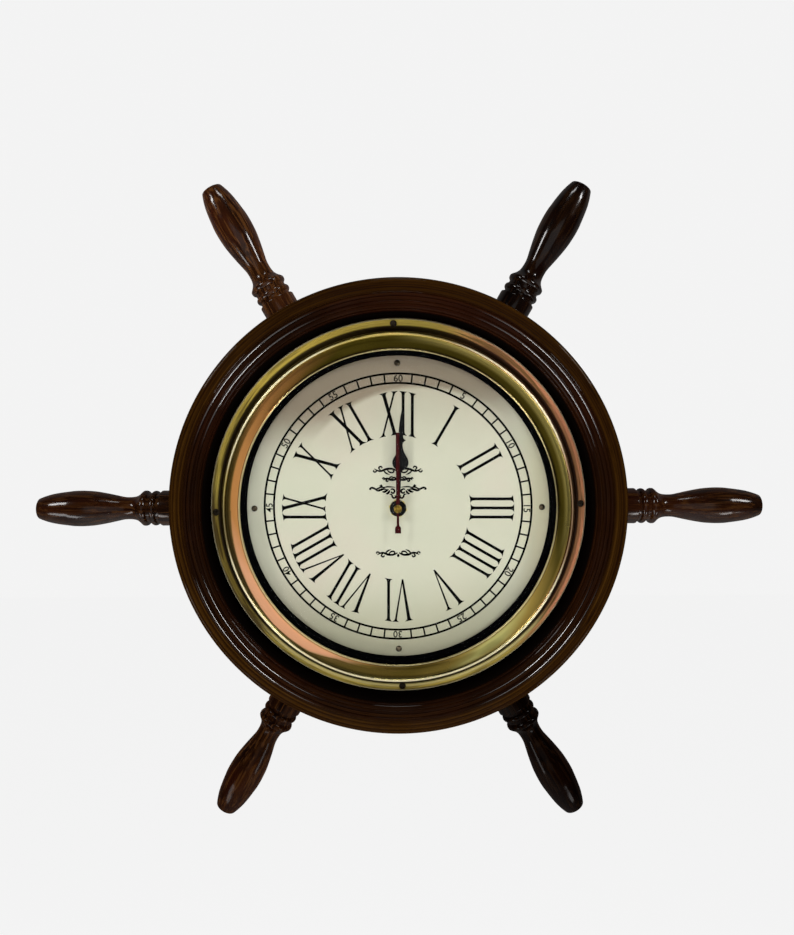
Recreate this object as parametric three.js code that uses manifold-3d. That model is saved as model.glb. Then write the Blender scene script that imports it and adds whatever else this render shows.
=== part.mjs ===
// Ship wheel wall clock: a turned wooden wheel with six handles, a spun brass bezel and a quartz movement.
// Everything is built lying on a bench: x to the right, y up the dial, z out of the dial, the wall at z = 0.
// At the end the bench is stood up, so that the dial faces -Y and the wheel hangs from the origin.
import * as THREE from "three";
import { mergeVertices } from "three/addons/utils/BufferGeometryUtils.js";
import Module from "manifold-3d";

const wasm = await Module();
wasm.setup();

// Sizes in millimetres

// Fits
const SEAT_GAP = 0.3;
const STACK_GAP = 0.15;
const RUNNING_GAP = 0.25;
const RING_STEPS = 40;
const ROUND_STEPS = 12;
const SMALL_STEPS = 8;

// Wooden wheel
const RIM_RADIUS = 139.6;
const HANDLE_REACH = 87.4;
const RIM_DEPTH = 40.6;
const RIM_WIDTH = 22.2;
const RIM_SHOULDER = 8.6;
const RIM_BACK_ROUND = 3;
const HANDLE_COUNT = 6;
const HANDLE_AXIS_HEIGHT = 18.9;
const TENON_RADIUS = 6;

// Front moulding of the rim: bands counted inwards and downwards from the crest
const BAND_INNER = 3.1;
const BAND_MIDDLE = 4.2;
const BAND_CREST = 4.8;
const STEP_INNER = 2.1;
const STEP_OUTER = 0.9;
const OUTER_ROLL_DROP = 5.7;

// Handle turning, measured outwards from the rim
const COLLAR_LENGTH = 9.4;
const COLLAR_RADIUS = 11.1;
const BEAD_LENGTH = 6.8;
const BEAD_RADIUS = 10.95;
const FLANGE_LENGTH = 3.6;
const GROOVE_DEPTH = 0.8;
const NECK_RADIUS = 7.05;
const NECK_FROM_FLANGE = 10;
const GRIP_RADIUS = 11.3;
const GRIP_FROM_TIP = 27;
const TIP_FLAT_RADIUS = 5;

// Back board
const BOARD_THICKNESS = 22;
const BOARD_BACK = 0.4;
const WINDOW_MARGIN = 3;
const BOARD_SCREW_COUNT = 6;
const BOARD_SCREW_LENGTH = 33;
const BOARD_SCREW_RADIUS = 1.75;

// Wall hanger
const HANGER_WIDTH = 46;
const HANGER_HEIGHT = 26;
const HANGER_SHEET = 1.5;
const HANG_BELOW_EDGE = 20;
const KEYHOLE_SLOT_HALF = 2.5;
const KEYHOLE_ENTRY_RADIUS = 5;
const KEYHOLE_TRAVEL = 9.5;
const HANGER_POCKET_DEPTH = 6;
const HANGER_SCREW_INSET = 6;
const HANGER_SCREW_LENGTH = 12;
const HANGER_SCREW_RADIUS = 1.5;

// Dial, spacer and glass
const DIAL_THICKNESS = 1;
const DIAL_HOLE_RADIUS = 4.3;
const DIAL_SCREW_INSET = 5.6;
const DIAL_SCREW_HEAD_RADIUS = 1.95;
const SPACER_HEIGHT = 7.1;
const SPACER_REVEAL = 1.2;
const GLASS_THICKNESS = 1.8;

// Bezel, measured inwards from the bore of the rim
const BEZEL_SHEET = 0.9;
const BEZEL_FLANGE = 5.3;
const BEZEL_FLANGE_CROWN = 1.7;
const BEZEL_GROOVE = 2.6;
const BEZEL_RIDGE_RADIUS = 1.5;
const BEZEL_RIDGE_ABOVE_GLASS = 1.3;
const BEZEL_COVE = 9.1;
const BEZEL_LIP = 1.4;
const BEZEL_SCREW_LENGTH = 11;
const BEZEL_SCREW_TURN = 1.1;
const SMALL_SCREW_COUNT = 4;
const SMALL_SCREW_RADIUS = 1.1;
const SMALL_SCREW_HEAD = 2.1;

// Hands
const HAND_SHEET = 0.4;
const HAND_SPACING = 0.9;
const HOUR_HAND_LENGTH = 41;
const HOUR_HUB_RADIUS = 5.1;
const HOUR_BULB_RADIUS = 5;
const HOUR_BULB_AT = 28.5;
const HOUR_HAND_TURN = 3;
const MINUTE_HAND_LENGTH = 61.2;
const MINUTE_HUB_RADIUS = 4.3;
const MINUTE_FLARE_AT = 42.4;
const MINUTE_FLARE_HALF = 3;
const MINUTE_HAND_TURN = 2.5;
const SECOND_HAND_LENGTH = 47;
const SECOND_TAIL_LENGTH = 15.2;
const SECOND_PADDLE_HALF = 1.9;
const SECOND_HAND_TURN = -0.4;
const CAP_RADIUS = 2.5;

// Movement case
const CASE_DEPTH = 15.3;
const CASE_WALL = 1.2;
const GASKET_THICKNESS = 0.7;
const GASKET_RADIUS = 8;
const BUSH_RADIUS = 3.9;
const WASHER_THICKNESS = 0.4;
const WASHER_RADIUS = 5.2;
const NUT_THICKNESS = 1.8;
const NUT_ACROSS_FLATS = 10;
const HOUR_PIPE_RADIUS = 2.55;
const MINUTE_PIPE_RADIUS = 1.45;
const PIPE_WALL = 0.8;
const SECOND_SHAFT_RADIUS = 0.45;

// Gear train: tooth counts, then distances between arbors
const ROTOR_LEAVES = 6;
const INTERMEDIATE_TEETH = 30;
const INTERMEDIATE_LEAVES = 6;
const SECOND_TEETH = 36;
const SECOND_LEAVES = 6;
const THIRD_TEETH = 45;
const THIRD_LEAVES = 6;
const CENTRE_TEETH = 48;
const CANNON_LEAVES = 8;
const MOTION_TEETH = 24;
const MOTION_LEAVES = 6;
const HOUR_TEETH = 24;
const SETTING_LEAVES = 12;
const THIRD_DISTANCE = 12;
const INTERMEDIATE_DISTANCE = 10.5;
const ROTOR_DISTANCE = 9;
const MOTION_DISTANCE = 9.6;
const THIRD_BEARING = 150;
const INTERMEDIATE_BEARING = 40;
const ROTOR_BEARING = 60;
const MOTION_BEARING = 90;
const SETTING_BEARING = 70;
const WHEEL_THICKNESS = 1;
const LAYER_PITCH = 1.55;
const PINION_OVERLAP = 0.15;
const ARBOR_RADIUS = 0.6;
const BEARING_WALL = 0.8;
const MAGNET_RADIUS = 2.8;
const MAGNET_THICKNESS = 1.4;
const KNOB_RADIUS = 5;
const KNOB_THICKNESS = 2.6;

// Motor, circuit and battery
const STATOR_THICKNESS = 0.8;
const STATOR_LIMB = 2;
const STATOR_BAR = 9;
const COIL_RADIUS = 3.2;
const COIL_WALL_ROOM = 1.3;
const STATOR_FOOT = 2.5;
const CIRCUIT_WIDTH = 16;
const CIRCUIT_HEIGHT = 12;
const CIRCUIT_THICKNESS = 0.8;
const CRYSTAL_RADIUS = 1;
const CRYSTAL_LENGTH = 6;
const CELL_RADIUS = 7;
const CELL_LENGTH = 49.2;
const CELL_NUB_RADIUS = 2.6;
const CELL_NUB_LENGTH = 1;
const CONTACT_SHEET = 0.4;
const CONTACT_ROOM = 1.7;
const PARTITION = 0.8;
const TRAIN_ROOM = 0.4;

// Places that follow from the sizes

const boardFront = BOARD_BACK + BOARD_THICKNESS;
const ledge = boardFront + SEAT_GAP;
const tipRadius = RIM_RADIUS + HANDLE_REACH;
const rimBoreRadius = RIM_RADIUS - RIM_WIDTH;
const rebateRadius = rimBoreRadius + RIM_SHOULDER;
const dialBack = boardFront + SEAT_GAP;
const dialFront = dialBack + DIAL_THICKNESS;
const spacerTop = dialFront + SEAT_GAP + SPACER_HEIGHT;
const glassBack = spacerTop + SEAT_GAP;
const glassFront = glassBack + GLASS_THICKNESS;

const bezelRadius = rimBoreRadius - 0.5;
const bezelBack = boardFront + SEAT_GAP;
const bezelUnderLip = glassFront + SEAT_GAP;
const ridgeCentre = bezelRadius - BEZEL_FLANGE - BEZEL_GROOVE - BEZEL_SHEET - BEZEL_RIDGE_RADIUS;
const ridgeHeight = glassFront + BEZEL_RIDGE_ABOVE_GLASS;
const openingRadius = ridgeCentre - BEZEL_RIDGE_RADIUS - BEZEL_COVE + 0.5;
const insideBezel = ridgeCentre + BEZEL_RIDGE_RADIUS - BEZEL_SHEET;
const glassRadius = insideBezel - 0.7;
const spacerInside = openingRadius - SPACER_REVEAL;
const dialScrewCircle = spacerInside - DIAL_SCREW_INSET;
const bezelScrewCircle = bezelRadius - BEZEL_FLANGE * 0.6;
const boardScrewCircle = rimBoreRadius + RIM_SHOULDER / 2 - 0.2;

const caseFront = dialBack - GASKET_THICKNESS - 2 * STACK_GAP;
const caseBack = caseFront - CASE_DEPTH;
const caseInsideFront = caseFront - CASE_WALL;
const caseInsideBack = caseBack + CASE_WALL;
const hangHeight = rebateRadius - HANG_BELOW_EDGE;
const washerTop = dialFront + STACK_GAP + WASHER_THICKNESS;
const nutTop = washerTop + STACK_GAP + NUT_THICKNESS;
const bushTop = nutTop + 0.4;
const hourHandBack = bushTop + STACK_GAP;
const minuteHandBack = hourHandBack + HAND_SHEET + HAND_SPACING;
const secondHandBack = minuteHandBack + HAND_SHEET + HAND_SPACING;

const rad = THREE.MathUtils.degToRad;
const spindle = new THREE.Vector2(0, 0);

function away(from, distance, bearing) {
  return new THREE.Vector2(
    from.x + distance * Math.cos(rad(bearing)),
    from.y + distance * Math.sin(rad(bearing)),
  );
}

const thirdArbor = away(spindle, THIRD_DISTANCE, THIRD_BEARING);
const intermediateArbor = away(spindle, INTERMEDIATE_DISTANCE, INTERMEDIATE_BEARING);
const rotorArbor = away(intermediateArbor, ROTOR_DISTANCE, ROTOR_BEARING);
const motionArbor = away(spindle, MOTION_DISTANCE, MOTION_BEARING);

// A module is the pitch diameter for each tooth, set by the distance that two gears share
const secondModule = (2 * INTERMEDIATE_DISTANCE) / (SECOND_TEETH + INTERMEDIATE_LEAVES);
const rotorModule = (2 * ROTOR_DISTANCE) / (INTERMEDIATE_TEETH + ROTOR_LEAVES);
const thirdModule = (2 * THIRD_DISTANCE) / (THIRD_TEETH + SECOND_LEAVES);
const centreModule = (2 * THIRD_DISTANCE) / (CENTRE_TEETH + THIRD_LEAVES);
const cannonModule = (2 * MOTION_DISTANCE) / (CANNON_LEAVES + MOTION_TEETH);
const hourModule = (2 * MOTION_DISTANCE) / (HOUR_TEETH + MOTION_LEAVES);
const settingDistance = (cannonModule * (SETTING_LEAVES + MOTION_TEETH)) / 2;
const settingArbor = away(motionArbor, settingDistance, SETTING_BEARING);

// The cell lies below the train, and the case goes round both
const ADDENDUM = 0.8;
const centreTip = (CENTRE_TEETH / 2 + ADDENDUM) * centreModule;
const partitionTop = -centreTip - TRAIN_ROOM;
const cellTop = partitionTop - PARTITION - SEAT_GAP;
const cellY = cellTop - CELL_RADIUS;
const cellZ = caseInsideFront - SEAT_GAP - CELL_RADIUS;
const cellHalf = (CELL_LENGTH + CELL_NUB_LENGTH) / 2;
const caseInsideX = cellHalf + CONTACT_ROOM;
const caseInsideY = -(cellY - CELL_RADIUS - SEAT_GAP);
const caseX = caseInsideX + CASE_WALL;
const caseY = caseInsideY + CASE_WALL;

// Solids from three.js geometry, joined and cut as closed bodies

function solidOf(geometry) {
  const bare = geometry.clone();
  bare.deleteAttribute("normal");
  bare.deleteAttribute("uv");
  const merged = mergeVertices(bare, 1e-4);
  const corners = merged.index.array;
  const kept = [];
  for (let i = 0; i < corners.length; i += 3) {
    const [a, b, c] = corners.slice(i, i + 3);
    if (a !== b && b !== c && c !== a) kept.push(a, b, c);
  }
  const make = (triangles) =>
    new wasm.Manifold(
      new wasm.Mesh({
        numProp: 3,
        vertProperties: merged.attributes.position.array,
        triVerts: new Uint32Array(triangles),
      }),
    );
  const solid = make(kept);
  return solid.volume() < 0 ? make(kept.reverse()) : solid;
}

function joined(first, ...others) {
  return others.reduce((whole, piece) => whole.add(piece), first);
}

function cut(first, ...others) {
  return others.reduce((whole, piece) => whole.subtract(piece), first);
}

function geometryOf(solid) {
  const mesh = solid.getMesh();
  const points = new Float32Array(mesh.numVert * 3);
  for (let i = 0; i < mesh.numVert; i++) {
    points.set(mesh.vertProperties.subarray(i * mesh.numProp, i * mesh.numProp + 3), i * 3);
  }
  const geometry = new THREE.BufferGeometry();
  geometry.setAttribute("position", new THREE.BufferAttribute(points, 3));
  geometry.setIndex(new THREE.BufferAttribute(new Uint32Array(mesh.triVerts), 1));
  geometry.computeVertexNormals();
  return geometry;
}

// A turned body about z, from its outline of [radius, height] corners or curve points
function turned(outline, steps = RING_STEPS) {
  const points = outline.map(([radius, height]) => new THREE.Vector2(radius, height));
  if (points[0].x > 0 || points.at(-1).x > 0) points.push(points[0].clone());
  return solidOf(new THREE.LatheGeometry(points, steps).rotateX(Math.PI / 2));
}

function curvePoints(curve, steps) {
  return curve.getPoints(steps).map((p) => [p.x, p.y]);
}

function bend(from, via, to, steps) {
  const [a, b, c] = [from, via, to].map(([x, y]) => new THREE.Vector2(x, y));
  return curvePoints(new THREE.QuadraticBezierCurve(a, b, c), steps);
}

function arc(centre, radius, startDegrees, endDegrees, steps) {
  const turn = endDegrees < startDegrees;
  const [x, y] = centre;
  return curvePoints(
    new THREE.EllipseCurve(x, y, radius, radius, rad(startDegrees), rad(endDegrees), turn),
    steps,
  );
}

function rod(radius, bottom, top, at = spindle, steps = SMALL_STEPS) {
  const geometry = new THREE.CylinderGeometry(radius, radius, top - bottom, steps);
  geometry.rotateX(Math.PI / 2);
  geometry.translate(at.x, at.y, (top + bottom) / 2);
  return solidOf(geometry);
}

function tube(outside, inside, bottom, top, at = spindle, steps = ROUND_STEPS) {
  return cut(rod(outside, bottom, top, at, steps), rod(inside, bottom - 1, top + 1, at, steps));
}

function block(x0, x1, y0, y1, z0, z1) {
  const geometry = new THREE.BoxGeometry(x1 - x0, y1 - y0, z1 - z0);
  geometry.translate((x0 + x1) / 2, (y0 + y1) / 2, (z0 + z1) / 2);
  return solidOf(geometry);
}

function plate(shape, bottom, top, curveSegments = SMALL_STEPS) {
  const geometry = new THREE.ExtrudeGeometry(shape, {
    depth: top - bottom,
    bevelEnabled: false,
    curveSegments,
  });
  return solidOf(geometry.translate(0, 0, bottom));
}

// A flat outline that is the same on both sides of the y axis, from its right-hand half
function mirrored(half) {
  const left = half.filter(([x]) => x > 0).map(([x, y]) => [-x, y]);
  return new THREE.Shape([...half, ...left.reverse()].map(([x, y]) => new THREE.Vector2(x, y)));
}

// Finishes
const finish = (color, roughness, metalness) => ({ color, roughness, metalness });
const FINISHES = {
  wood: finish(0x3a2110, 0.3, 0),
  board: finish(0x7a5a3c, 0.8, 0),
  brass: finish(0xb08d4a, 0.25, 1),
  blackSpacer: finish(0x0b0a09, 0.5, 0),
  dial: finish(0xcbc9b4, 0.45, 0),
  glass: finish(0xe8f0ee, 0.05, 0),
  blackHand: finish(0x0a0a0b, 0.45, 0.3),
  redHand: finish(0x5e1014, 0.5, 0.2),
  steel: finish(0x9a9a98, 0.35, 1),
  blackPlastic: finish(0x18181a, 0.55, 0),
  whitePlastic: finish(0xd8d6cf, 0.5, 0),
  rubber: finish(0x202020, 0.9, 0),
  copper: finish(0xa5552c, 0.35, 1),
  circuit: finish(0x2f5b35, 0.6, 0),
  cell: finish(0x39424a, 0.35, 0.4),
};
const materials = Object.fromEntries(
  Object.entries(FINISHES).map(([name, values]) => [name, new THREE.MeshStandardMaterial(values)]),
);

const bench = new THREE.Group();

function add(name, solid, material) {
  const mesh = new THREE.Mesh(geometryOf(solid), materials[material]);
  mesh.name = name;
  bench.add(mesh);
  return mesh;
}

// Wood screws, drawn point down from the face that the head sits in

function countersunkScrew(headRadius, shankRadius, length) {
  const sink = headRadius - shankRadius;
  const outline = [
    [0, 0],
    [headRadius, 0],
    [shankRadius, -sink],
    [shankRadius, -length + 2 * shankRadius],
    [0, -length],
  ];
  return turned(outline, SMALL_STEPS);
}

function roundHeadScrew(headRadius, shankRadius, length) {
  const dome = arc([0, 0], headRadius, 90, 0, 3).map(([x, y]) => [x, y * 0.6]);
  const shank = [
    [shankRadius, 0],
    [shankRadius, -length + 2 * shankRadius],
    [0, -length],
  ];
  return turned([[0, dome[0][1]], ...dome.slice(1), ...shank], SMALL_STEPS);
}

function screwHole(headRadius, shankRadius, length, gap) {
  const sink = countersunkScrew(headRadius + gap, shankRadius + gap, length + gap + shankRadius);
  return joined(sink, rod(headRadius + gap, -0.01, 2));
}

function ring(count, radius, startDegrees = 0) {
  return Array.from({ length: count }, (_, i) =>
    away(spindle, radius, startDegrees + (360 / count) * i),
  );
}

const boardScrewPlaces = ring(BOARD_SCREW_COUNT, boardScrewCircle, 180 / HANDLE_COUNT);
const bezelScrewPlaces = ring(SMALL_SCREW_COUNT, bezelScrewCircle, 90 + BEZEL_SCREW_TURN);
const dialScrewPlaces = ring(SMALL_SCREW_COUNT, dialScrewCircle, 90);

// Wooden rim: one turned ring with a stepped front, a bore for the bezel and a rebate for the board

function rimSolid() {
  const step2 = rimBoreRadius + BAND_INNER + BAND_MIDDLE;
  const step1 = step2 + BAND_CREST;
  const crest = RIM_DEPTH;
  const innerTop = crest - STEP_INNER - STEP_OUTER;
  const shoulderTop = crest - STEP_OUTER;
  const rollEnd = crest - OUTER_ROLL_DROP - STEP_OUTER;
  const outline = [
    [rimBoreRadius, ledge],
    ...arc([rimBoreRadius + 1.2, innerTop - 1.2], 1.2, 180, 90, 2),
    [rimBoreRadius + BAND_INNER, innerTop + 0.1],
    [rimBoreRadius + BAND_INNER + 0.3, innerTop + STEP_INNER / 2],
    [step2 - 0.3, innerTop + STEP_INNER / 2 + 0.6],
    [step2, crest - 0.35],
    [step2 + 0.8, crest],
    [step1 - 0.8, crest],
    [step1, crest - 0.35],
    [step1 + 0.1, shoulderTop],
    ...bend([step1 + 1.2, shoulderTop], [RIM_RADIUS, shoulderTop - 0.6], [RIM_RADIUS, rollEnd], 4),
    ...arc([RIM_RADIUS - RIM_BACK_ROUND, RIM_BACK_ROUND], RIM_BACK_ROUND, 0, -90, 2),
    [rebateRadius, 0],
    [rebateRadius, ledge],
  ];
  const screwHoles = boardScrewPlaces.map((at) =>
    rod(BOARD_SCREW_RADIUS + SEAT_GAP, ledge - 1, BOARD_BACK + BOARD_SCREW_LENGTH + SEAT_GAP, at),
  );
  const sockets = Array.from({ length: HANDLE_COUNT }, (_, i) => {
    const reach = RIM_RADIUS + 5;
    const drill = new THREE.CylinderGeometry(
      TENON_RADIUS + SEAT_GAP,
      TENON_RADIUS + SEAT_GAP,
      reach - (rebateRadius - 2),
      ROUND_STEPS,
    );
    drill.rotateZ(-Math.PI / 2);
    drill.translate((reach + rebateRadius - 2) / 2, 0, HANDLE_AXIS_HEIGHT);
    return solidOf(drill.rotateZ(rad((360 / HANDLE_COUNT) * i)));
  });
  return cut(turned(outline), ...screwHoles, ...sockets);
}

add("wood_rim", rimSolid(), "wood");

// Handles: one turning with a tenon, a collar, a bead, a flange, a waist and a bellied grip

function handleSolid() {
  const collarEnd = RIM_RADIUS + SEAT_GAP + COLLAR_LENGTH;
  const beadEnd = collarEnd + BEAD_LENGTH;
  const flangeEnd = beadEnd + FLANGE_LENGTH;
  const groove = Math.min(COLLAR_RADIUS, BEAD_RADIUS) - GROOVE_DEPTH;
  const neckAt = flangeEnd + NECK_FROM_FLANGE;
  const gripAt = tipRadius - GRIP_FROM_TIP;
  const waist = new THREE.CubicBezierCurve(
    new THREE.Vector2(COLLAR_RADIUS, flangeEnd),
    new THREE.Vector2(NECK_RADIUS + 0.3, flangeEnd + 2.2),
    new THREE.Vector2(NECK_RADIUS, flangeEnd + 5),
    new THREE.Vector2(NECK_RADIUS, neckAt),
  );
  const swell = new THREE.CubicBezierCurve(
    new THREE.Vector2(NECK_RADIUS, neckAt),
    new THREE.Vector2(NECK_RADIUS, neckAt + (gripAt - neckAt) * 0.3),
    new THREE.Vector2(GRIP_RADIUS, neckAt + (gripAt - neckAt) * 0.52),
    new THREE.Vector2(GRIP_RADIUS, gripAt),
  );
  const close = new THREE.CubicBezierCurve(
    new THREE.Vector2(GRIP_RADIUS, gripAt),
    new THREE.Vector2(GRIP_RADIUS, gripAt + GRIP_FROM_TIP * 0.42),
    new THREE.Vector2(TIP_FLAT_RADIUS + 2.6, tipRadius - 4),
    new THREE.Vector2(TIP_FLAT_RADIUS, tipRadius),
  );
  const beadMiddle = (collarEnd + beadEnd) / 2;
  const outline = [
    [0, rebateRadius + SEAT_GAP],
    [TENON_RADIUS, rebateRadius + SEAT_GAP],
    [TENON_RADIUS, RIM_RADIUS + SEAT_GAP],
    [COLLAR_RADIUS, RIM_RADIUS + SEAT_GAP],
    [COLLAR_RADIUS, collarEnd - 1],
    [groove, collarEnd],
    ...bend([groove, collarEnd + 0.3], [2 * BEAD_RADIUS - groove, beadMiddle], [groove, beadEnd - 0.3], 3),
    [groove, beadEnd],
    [COLLAR_RADIUS, beadEnd + 0.8],
    ...curvePoints(waist, 3),
    ...curvePoints(swell, 4).slice(1),
    ...curvePoints(close, 4).slice(1),
    [0, tipRadius],
  ];
  return turned(outline, ROUND_STEPS);
}

const handle = handleSolid();
for (let i = 0; i < HANDLE_COUNT; i++) {
  const spoke = new THREE.Group();
  const mesh = add(`handle_${i + 1}`, handle, "wood");
  mesh.rotation.y = Math.PI / 2;
  mesh.position.z = HANDLE_AXIS_HEIGHT;
  spoke.rotation.z = rad((360 / HANDLE_COUNT) * i);
  spoke.add(mesh);
  bench.add(spoke);
}

// Back board: a disc in the rebate, with a window for the movement and a pocket for the wall screw

const keyholeEntryY = hangHeight - KEYHOLE_TRAVEL;
const hangerY = hangHeight - KEYHOLE_TRAVEL / 2;
const hangerScrewPlaces = [-1, 1].map(
  (side) => new THREE.Vector2(side * (HANGER_WIDTH / 2 - HANGER_SCREW_INSET), hangerY),
);

function keyholeShape(gap) {
  const slot = KEYHOLE_SLOT_HALF + gap;
  const entry = KEYHOLE_ENTRY_RADIUS + gap;
  const meet = Math.asin(slot / entry);
  const shape = new THREE.Shape();
  shape.absarc(0, keyholeEntryY, entry, Math.PI / 2 + meet, Math.PI / 2 - meet, false);
  shape.absarc(0, hangHeight, slot, 0, Math.PI, false);
  return shape;
}

function boardSolid() {
  const hangerTop = BOARD_BACK + HANGER_SHEET + SEAT_GAP;
  const windowX = caseX + WINDOW_MARGIN;
  const windowY = caseY + WINDOW_MARGIN;
  const window = block(-windowX, windowX, -windowY, windowY, -1, boardFront + 1);
  const recess = block(
    -HANGER_WIDTH / 2 - SEAT_GAP,
    HANGER_WIDTH / 2 + SEAT_GAP,
    hangerY - HANGER_HEIGHT / 2 - SEAT_GAP,
    hangerY + HANGER_HEIGHT / 2 + SEAT_GAP,
    -1,
    hangerTop,
  );
  const pocket = plate(keyholeShape(1.5), hangerTop - 0.1, hangerTop + HANGER_POCKET_DEPTH);
  const boardScrewHole = (at) =>
    screwHole(2 * BOARD_SCREW_RADIUS - 0.2, BOARD_SCREW_RADIUS, BOARD_SCREW_LENGTH, SEAT_GAP)
      .rotate([180, 0, 0])
      .translate([at.x, at.y, BOARD_BACK]);
  const hangerScrewHole = (at) =>
    rod(HANGER_SCREW_RADIUS + SEAT_GAP, -1, BOARD_BACK + HANGER_SCREW_LENGTH + 1, at);
  const front = (shankRadius, depth) => (at) =>
    rod(shankRadius + SEAT_GAP, boardFront - depth, boardFront + 1, at, 8);
  return cut(
    rod(rebateRadius - SEAT_GAP, BOARD_BACK, boardFront, spindle, RING_STEPS),
    window,
    recess,
    pocket,
    ...boardScrewPlaces.map(boardScrewHole),
    ...hangerScrewPlaces.map(hangerScrewHole),
    ...bezelScrewPlaces.map(front(SMALL_SCREW_RADIUS, BEZEL_SCREW_LENGTH)),
    ...dialScrewPlaces.map(front(SMALL_SCREW_RADIUS, BEZEL_SCREW_LENGTH)),
  );
}

add("back_board", boardSolid(), "board");

boardScrewPlaces.forEach((at, i) => {
  const screw = countersunkScrew(2 * BOARD_SCREW_RADIUS - 0.2, BOARD_SCREW_RADIUS, BOARD_SCREW_LENGTH);
  const mesh = add(`board_screw_${i + 1}`, screw, "steel");
  mesh.rotation.x = Math.PI;
  mesh.position.set(at.x, at.y, BOARD_BACK);
});

// Wall hanger: a steel keyhole plate let into the board, with its two screws

function hangerSolid() {
  const outline = block(
    -HANGER_WIDTH / 2,
    HANGER_WIDTH / 2,
    hangerY - HANGER_HEIGHT / 2,
    hangerY + HANGER_HEIGHT / 2,
    BOARD_BACK,
    BOARD_BACK + HANGER_SHEET,
  );
  const holes = hangerScrewPlaces.map((at) =>
    screwHole(2 * HANGER_SCREW_RADIUS - 0.4, HANGER_SCREW_RADIUS, HANGER_SCREW_LENGTH, 0.15)
      .rotate([180, 0, 0])
      .translate([at.x, at.y, BOARD_BACK]),
  );
  return cut(outline, plate(keyholeShape(0), 0, BOARD_BACK + HANGER_SHEET + 1), ...holes);
}

add("hanger_plate", hangerSolid(), "steel");

hangerScrewPlaces.forEach((at, i) => {
  const screw = countersunkScrew(2 * HANGER_SCREW_RADIUS - 0.4, HANGER_SCREW_RADIUS, HANGER_SCREW_LENGTH);
  const mesh = add(`hanger_screw_${i + 1}`, screw, "steel");
  mesh.rotation.x = Math.PI;
  mesh.position.set(at.x, at.y, BOARD_BACK);
});

// Dial plate with its four screws, the black spacer ring on it and the glass on that

const dialHoles = dialScrewPlaces.map((at) =>
  rod(SMALL_SCREW_RADIUS + SEAT_GAP, dialBack - 1, dialFront + 1, at, 8),
);
const dialDisc = rod(glassRadius, dialBack, dialFront, spindle, RING_STEPS);
const spindleHole = rod(DIAL_HOLE_RADIUS, dialBack - 1, dialFront + 1, spindle, ROUND_STEPS);
add("dial_plate", cut(dialDisc, spindleHole, ...dialHoles), "dial");

dialScrewPlaces.forEach((at, i) => {
  const screw = roundHeadScrew(DIAL_SCREW_HEAD_RADIUS, SMALL_SCREW_RADIUS, BEZEL_SCREW_LENGTH);
  const mesh = add(`dial_screw_${i + 1}`, screw, "brass");
  mesh.position.set(at.x, at.y, dialFront + STACK_GAP);
});

const spacerOutline = [
  [spacerInside, dialFront + SEAT_GAP],
  [glassRadius - 0.6, dialFront + SEAT_GAP],
  [glassRadius - 0.6, spacerTop],
  [spacerInside, spacerTop],
];
add("spacer_ring", turned(spacerOutline), "blackSpacer");
add("glass", rod(glassRadius, glassBack, glassFront, spindle, RING_STEPS), "glass");

// Bezel: spun brass sheet with a crowned flange, a groove, a tall ridge and a cove down to the lip

function bezelSolid() {
  const flangeInner = bezelRadius - BEZEL_FLANGE;
  const wallFoot = flangeInner - BEZEL_GROOVE;
  const grooveTop = bezelBack + BEZEL_SHEET;
  const wallTop = ridgeCentre + BEZEL_RIDGE_RADIUS;
  const lipTop = bezelUnderLip + BEZEL_LIP;
  const coveStart = arc([ridgeCentre, ridgeHeight], BEZEL_RIDGE_RADIUS, 0, 150, 4);
  const coveLow = bezelUnderLip + BEZEL_SHEET * 0.35;
  const outline = [
    [bezelRadius, bezelBack],
    [bezelRadius, grooveTop - 0.1],
    ...bend(
      [bezelRadius - 0.3, grooveTop + 0.1],
      [bezelRadius - BEZEL_FLANGE / 2, grooveTop + BEZEL_FLANGE_CROWN],
      [flangeInner, grooveTop],
      4,
    ),
    [wallFoot + 0.4, grooveTop],
    [wallFoot - 0.6, grooveTop + 1.2],
    ...coveStart,
    ...bend(coveStart.at(-1), [(coveStart.at(-1)[0] + openingRadius) / 2 + 1, coveLow], [openingRadius + 1, lipTop], 4).slice(1),
    [openingRadius, lipTop - 0.2],
    [openingRadius, bezelUnderLip],
    [coveStart.at(-1)[0] - 1.6, bezelUnderLip],
    [ridgeCentre - 0.6, ridgeHeight + BEZEL_RIDGE_RADIUS - BEZEL_SHEET - 0.2],
    [wallTop - BEZEL_SHEET, ridgeHeight - 0.2],
    [wallFoot - 0.6 - BEZEL_SHEET, grooveTop + 1.2],
    [wallFoot - 0.6, bezelBack],
  ];
  const holes = bezelScrewPlaces.map((at) =>
    screwHole(SMALL_SCREW_HEAD, SMALL_SCREW_RADIUS, BEZEL_SCREW_LENGTH, 0.15).translate([
      at.x,
      at.y,
      grooveTop + BEZEL_FLANGE_CROWN / 2,
    ]),
  );
  return cut(turned(outline), ...holes);
}

add("bezel", bezelSolid(), "brass");

bezelScrewPlaces.forEach((at, i) => {
  const screw = countersunkScrew(SMALL_SCREW_HEAD, SMALL_SCREW_RADIUS, BEZEL_SCREW_LENGTH);
  const mesh = add(`bezel_screw_${i + 1}`, screw, "brass");
  mesh.position.set(at.x, at.y, bezelBack + BEZEL_SHEET + BEZEL_FLANGE_CROWN / 2);
});

// Dial fixing: gasket behind the dial, washer and hexagonal nut in front

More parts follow.
